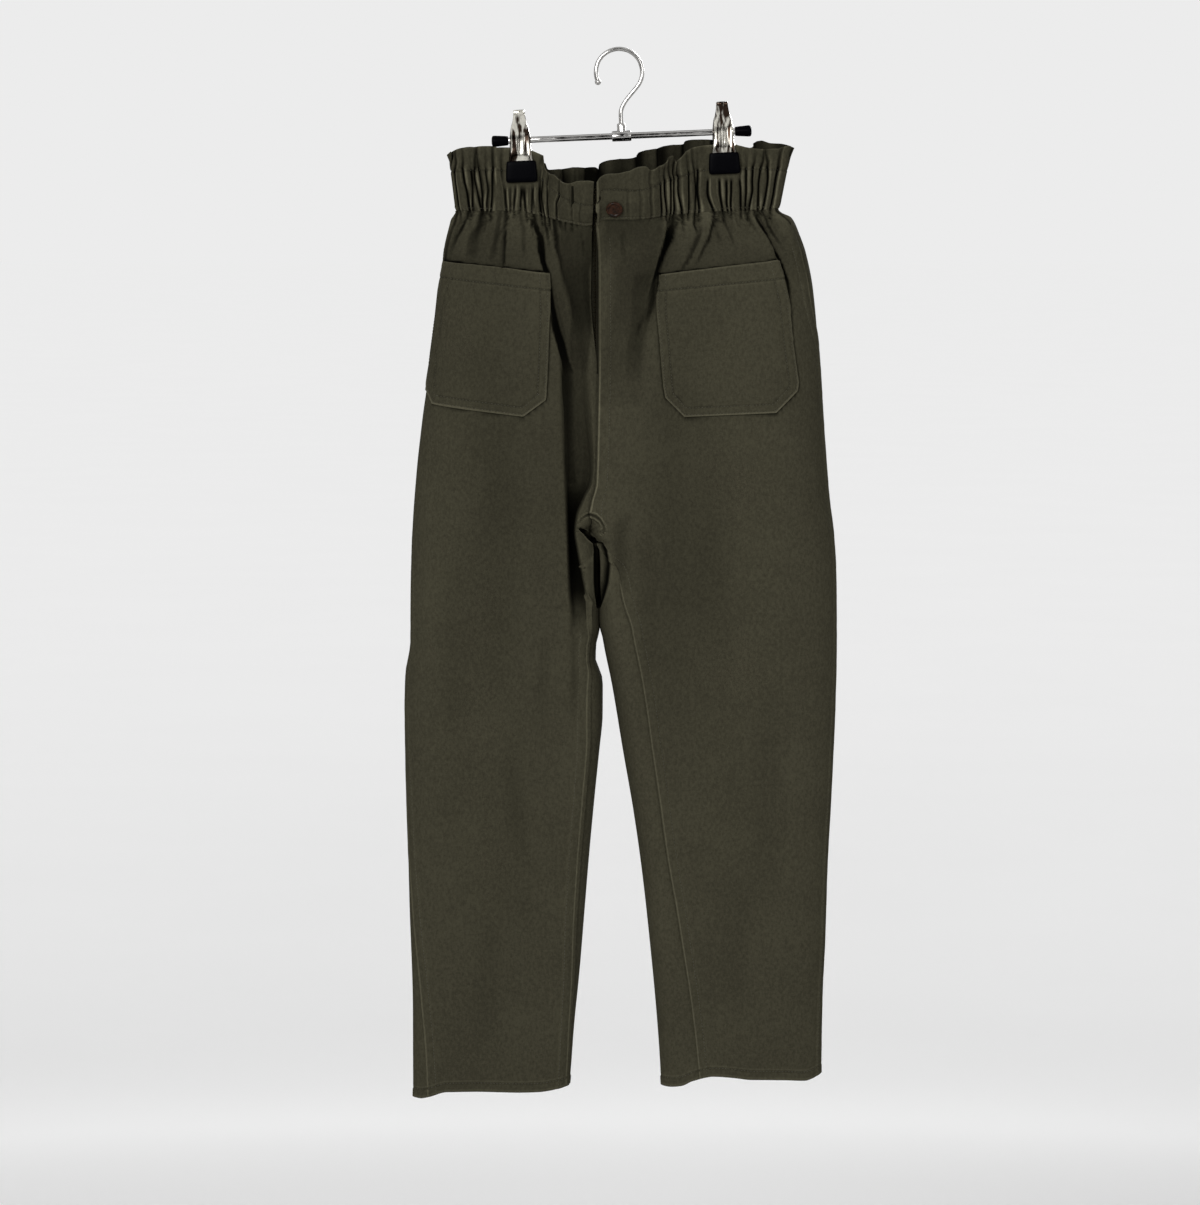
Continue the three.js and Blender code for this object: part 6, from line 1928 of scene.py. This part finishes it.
# Jaw outline from its rolled handle to its tip: height above the bar, width, distance out from the bar's
# plane, crown of the middle, and how far its flanges turn back.
JAW = named(
    "z width out crown flange",
    (26, 10.6, 12.6, 0.8, 0), (22, 11.5, 11.8, 1, 0.3), (19, 12.6, 11, 1.2, 0.8), (15, 15, 9.4, 1.5, 1.6),
    (11, 17.6, 8, 1.7, 2.6), (5, 19.4, 6.4, 1.8, 4), (-1, 20.2, 6, 1.8, 4.4), (-6, 20.8, 6, 1.8, 4),
    (-10, 21.4, 6.2, 1.6, 3), (-14, 22.2, 6.4, 1.2, 2), (-18, 22.8, 6.3, 0.6, 1.2),
    (-22, 23.2, 6.1, 0.2, 0.6), (-37, 24, 5.9, 0, 0.4),
)
ROLL_RADIUS = 2.3
EAR_POINTS = 28


def hung(body, clip_x=None, turn=1):
    """A body of the hanger, given about the bar or a clip, placed on the tilted hanger."""
    points, faces = body
    p = np.array(points, float)
    p[:, :2] *= turn
    if clip_x is not None:
        p[:, 0] += clip_x
        p[:, 2] -= BAR_DROP
    c, s = math.cos(HANGER_TILT), math.sin(HANGER_TILT)
    return np.stack([p[:, 0] * c - p[:, 2] * s, p[:, 1], p[:, 0] * s + p[:, 2] * c], axis=-1), faces


def hanger_piece(name, body, material, slot):
    """A finished piece of the hanger, which takes its solid's place."""
    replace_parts(make("vis_" + name, *body, material, slot), name)


def wire(path, radius, segments):
    """A round wire along a path of points, with rounded ends."""
    path = np.asarray(path, float)
    along = unit(np.gradient(path, axis=0))
    side = unit(np.cross(along, [0.05, 1.0, 0.02]))
    other = np.cross(along, side)
    angle = around(segments)
    ends = ((0.9, 0.4), (0.5, 0.85))  # how far out the rounded end's rings lie, and their size, by the radius
    rings = [(path[0] - along[0] * radius * out, size, 0) for out, size in ends]
    rings += [(path[i], 1.0, i) for i in range(len(path))]
    rings += [(path[-1] + along[-1] * radius * out, size, -1) for out, size in ends[::-1]]
    points = np.concatenate([
        centre + radius * scale * (np.cos(angle)[:, None] * side[i] + np.sin(angle)[:, None] * other[i])
        for centre, scale, i in rings
    ])
    return points, ring_faces(len(rings), segments)


def hook():
    radius = HOOK_INSIDE + WIRE
    foot = -BAR_DROP + 6.4
    stops = [(0, foot), (0, foot + 8), (0, foot + 16), (4, foot + 25)]
    for degrees in range(-48, 206, 23):
        angle = math.radians(degrees)
        stops.append((radius * math.cos(angle), -HOOK_INSIDE + radius * math.sin(angle)))
    stops = np.array(stops, float)
    run = np.concatenate([[0], np.cumsum(np.sqrt(np.linalg.norm(np.diff(stops, axis=0), axis=1)))])
    at = np.linspace(0, run[-1], 150)
    x, z = curve(run, stops[:, 0])(at), curve(run, stops[:, 1])(at)
    x, z = (np.convolve(np.pad(line, 4, mode="edge"), np.ones(9) / 9, "valid") for line in (x, z))
    path = np.stack([x, 0 * x, z], axis=-1)
    tip = lathe([(0.6, -2.9), (1.8, -2.4), (2.7, -1.3), (3.0, 0), (2.7, 1.3), (1.8, 2.4), (0.6, 2.9)],
                path[-1], path[-1] - path[-3], 28)
    hanger_piece("hanger_hook", hung(joined(wire(path, WIRE, 24), tip)), CHROME, "chrome")


def bar():
    end = BAR_LENGTH / 2
    half_bar = [(BAR_RADIUS, end / 2), (BAR_RADIUS, end - 0.9), (2.8, end - 0.2), (2.2, end + 0.2)]
    profile = [(radius, -out) for radius, out in half_bar[::-1]] + [(BAR_RADIUS, 0)] + half_bar
    middle = (0, 0, -BAR_DROP)
    hanger_piece("hanger_bar", hung(lathe(profile, middle, (1, 0, 0))), CHROME, "chrome")
    half_collar = [(5.0, 8.0), (4.8, 8.8), (4.2, 9.2), (3.1, 9.2)]
    collar = [(radius, -out) for radius, out in half_collar[::-1]] + half_collar
    neck = [(4.6, 0), (4.2, 5), (4.0, 6.5), (4.0, 10.6), (3.7, 11.5), (3.1, 12), (2.1, 12)]
    hub = joined(lathe(collar, middle, (1, 0, 0)), lathe(neck, middle, (0, 0, 1)))
    hanger_piece("hanger_hub", hung(hub), CHROME, "chrome")
    for side in (LEFT, RIGHT):
        name = "bar_cap_" + SIDE_NAME[side]
        cap = [(3.1, 0.1), (3.9, 0.0), (4.3, 0.5), (4.6, 3.0), (5.0, 8.0), (5.3, 12.0), (5.3, 13.6),
               (5.0, 14.6), (4.2, 15.2), (2.6, 15.6), (0.6, 15.7)]
        start = side * (BAR_LENGTH / 2 + 3.05 - 16.0)
        hanger_piece(name, hung(lathe(cap, (start, 0, -BAR_DROP), (side, 0, 0), 36)), VINYL, "vinyl")


def jaw(clip_x, turn, ear_x):
    """A pressed jaw: a crowned sheet with turned-back flanges, a rolled handle and two ears round the bar."""
    z = spread([(26, -37, 1.1)])
    across = np.linspace(-1, 1, 33)
    row = at_height(JAW, z[:, None])
    flank = np.clip((np.abs(across) - 0.86) / 0.14, 0, 1)[None]
    x = across * row["width"] / 2 * (1 - 0.02 * flank)
    y = -row["out"] - row["crown"] * (1 - across**2) + row["flange"] * flank**1.4
    rib = 0.5 * bell(across, 0.22) * smooth(z, -16, -8)[:, None] * (1 - smooth(z, 12, 20)[:, None])
    p = np.stack([x + 0 * y, y + rib, z[:, None] + 0 * x], axis=-1)
    sheet = closed_sheet(p, grid_normals(p), 0.9)
    roll = lathe([(1.2, -5.2), (2.0, -5.0), (ROLL_RADIUS, -4.4), (ROLL_RADIUS, 4.4), (2.0, 5.0), (1.2, 5.2)],
                 (0, -11.4, 26.2), (1, 0, 0), 28)
    ears = []
    angle = around(EAR_POINTS)
    ear_y, ear_z = np.cos(angle) * 4.6, np.sin(angle) * 4.9
    ear_y = np.where(ear_y < 0, ear_y * 1.35, ear_y)
    for x_ear in (-ear_x, ear_x):
        rings = [(x_ear - 0.5, 0.93), (x_ear - 0.38, 1.0), (x_ear + 0.38, 1.0), (x_ear + 0.5, 0.93)]
        points = [np.stack([np.full(EAR_POINTS, at), ear_y * s, ear_z * s], -1) for at, s in rings]
        ears.append((np.concatenate(points), ring_faces(len(rings), EAR_POINTS)))
    return hung(joined(sheet, roll, *ears), clip_x, turn)


def pad(clip_x, turn):
    """A dipped vinyl boot over a jaw's tip, fuller towards its lower edge."""
    heights = np.array([-19.4, -19.7, -20.6, -24, -30, -35, -37.6, -38.8, -39.4, -39.6])
    half_width = np.array([12.4, 13.2, 13.7, 14.1, 14.6, 14.9, 14.8, 14.3, 13.2, 11.8])
    half_depth = np.array([1.2, 1.7, 2.0, 2.2, 2.3, 2.35, 2.3, 1.95, 1.4, 0.7])
    count = 56
    angle = around(count)
    rings = []
    for z, w, d in zip(heights, half_width, half_depth):
        c, s = np.cos(angle), np.sin(angle)
        x = w * np.sign(c) * np.abs(c) ** 0.38
        y = -5.95 + d * np.sign(s) * np.abs(s) ** 0.55
        rings.append(np.stack([x, y, np.full(count, z)], axis=-1))
    points = np.concatenate(rings)
    faces = [face[::-1] for face in ring_faces(len(rings), count)]
    return hung((points, faces), clip_x, turn)


def spring(clip_x):
    turns, radius = 7.5, 3.75
    t = np.linspace(0, 1, 260)
    angle = 2 * np.pi * turns * t
    path = np.stack([-5.4 + 10.8 * t, radius * np.cos(angle), radius * np.sin(angle)], axis=-1)
    return hung(wire(path, 0.62, 10), clip_x)


hook()
bar()
for side in (LEFT, RIGHT):
    name = "clip_" + SIDE_NAME[side]
    clip_x = side * CLIP_SPAN / 2
    hanger_piece(name + "_spring", spring(clip_x), CHROME, "chrome")
    for face, turn, ear_x in (("front", 1, 9.2), ("back", -1, 7.8)):
        hanger_piece(f"{name}_{face}_jaw", jaw(clip_x, turn, ear_x), SHEET_STEEL, "chrome")
        hanger_piece(f"{name}_{face}_pad", pad(clip_x, turn), VINYL, "vinyl")

# ---------------------------------------------------------------------------------------------
# Stage, lights, camera
# ---------------------------------------------------------------------------------------------

VIEW_TARGET = Vector((-0.0171, 0.0, -0.5213))
VIEW_DISTANCE = 5.0
VIEW_RISE = math.radians(4.6)
FRAME_WIDTH = 1.14  # metres across the picture at the garment

SENSOR = 36.0
LIGHT_SPREAD = math.radians(60)
LIGHT_AIM = (0, 0, -0.5)

scene = bpy.context.scene
scene.view_settings.view_transform = "Standard"

camera_data = bpy.data.cameras.new("camera")
camera = linked("camera", camera_data)
camera.location = VIEW_TARGET + Vector((0, -math.cos(VIEW_RISE), math.sin(VIEW_RISE))) * VIEW_DISTANCE
camera.rotation_euler = (VIEW_TARGET - camera.location).to_track_quat("-Z", "Y").to_euler()
camera_data.sensor_width = SENSOR
camera_data.sensor_fit = "HORIZONTAL"
camera_data.lens = SENSOR * VIEW_DISTANCE / FRAME_WIDTH
camera_data.clip_end = 200.0
scene.camera = camera

world = bpy.data.worlds.new("studio")
scene.world = world
world.use_nodes = True
backdrop = world.node_tree.nodes["Background"]
backdrop.inputs["Color"].default_value = linear(236, 236, 236)
backdrop.inputs["Strength"].default_value = 1.0


def light(name, place, size, energy):
    """A soft lamp aimed at the middle of the garment."""
    data = bpy.data.lights.new(name, "AREA")
    data.shape = "RECTANGLE"
    data.size, data.size_y = size
    data.energy = energy
    data.spread = LIGHT_SPREAD
    obj = linked(name, data)
    obj.location = place
    obj.rotation_euler = (Vector(LIGHT_AIM) - Vector(place)).to_track_quat("-Z", "Y").to_euler()


light("key", (-0.9, -2.5, 0.55), (1.0, 1.0), 8.5)
light("fill", (1.2, -2.5, 0.1), (0.8, 1.2), 2.5)
light("back", (0.8, 2.5, 0.5), (1.0, 1.0), 9)


def staged(name, points, faces, material):
    mesh = bpy.data.meshes.new(name)
    mesh.from_pydata(points, [], faces)
    mesh.materials.append(material)
    obj = linked(name, mesh)
    return obj


def matt(name, colour, other):
    m = Nodes(name)
    grain = m.noise(m.position(), 2.0, 2.0, 0.5)
    m.feed(Base_Color=m.mix(m.span(grain, 0.3, 0.7), colour, other))
    m.set(Roughness=1.0)
    m.set(Specular_IOR_Level=0.0)
    return m.material


FLOOR_Z = -1.6
FLOOR_REACH = 90.0
corners = [(x * FLOOR_REACH, y * FLOOR_REACH, FLOOR_Z) for x, y in ((-1, -1), (1, -1), (1, 1), (-1, 1))]
staged("floor", corners, [(0, 1, 2, 3)], matt("pale_floor", (1.0, 1.0, 1.0, 1), (0.992, 0.992, 0.992, 1)))

# Dark studio flags stand round the object out of the camera's sight, for the plated steel to mirror.
FLAG_DISTANCE = 3.2
FLAGS = named(
    "middle width low high",
    (-90, 7, -0.6, 3), (-81, 3, -0.9, 2.4), (-73, 5, -0.9, 2.8), (-63, 3, -0.9, 2.4), (-100, 3, -0.9, 2.6),
    (-107, 5, -0.9, 2.4), (-118, 4, -0.9, 2.6), (-51, 6, -0.9, 2), (-131, 7, -0.9, 2),
    (-90, 110, -0.75, -0.4), (-94, 30, 2.1, 4.8), (90, 30, 2.1, 4.8), (-20, 9, -0.9, 1.6),
    (25, 9, -0.9, 1.6), (62, 6, -0.9, 2), (77, 4, -0.9, 2.2), (90, 7, -0.9, 2.6), (103, 5, -0.9, 2.2),
    (116, 6, -0.9, 2), (150, 9, -0.9, 1.6), (-165, 9, -0.9, 1.6), (90, 100, -0.75, -0.4),
)
flag_cloth = matt("flag_cloth", linear(22, 18, 16), linear(30, 24, 20))


def flag(k):
    """An upright strip of a cylinder round the object."""
    middle, half, low, high = FLAGS["middle"][k], FLAGS["width"][k] / 2, FLAGS["low"][k], FLAGS["high"][k]
    steps = max(2, round(half / 4) + 1)
    angles = np.radians(np.linspace(middle - half, middle + half, steps))
    ring = [(FLAG_DISTANCE * math.cos(angle), FLAG_DISTANCE * math.sin(angle)) for angle in angles]
    points = [(x, y, z) for z in (low, high) for x, y in ring]
    faces = [(i, i + 1, steps + i + 1, steps + i) for i in range(steps - 1)]
    staged(f"flag_{k}", points, faces, flag_cloth).visible_camera = False


for k in range(len(FLAGS["middle"])):
    flag(k)
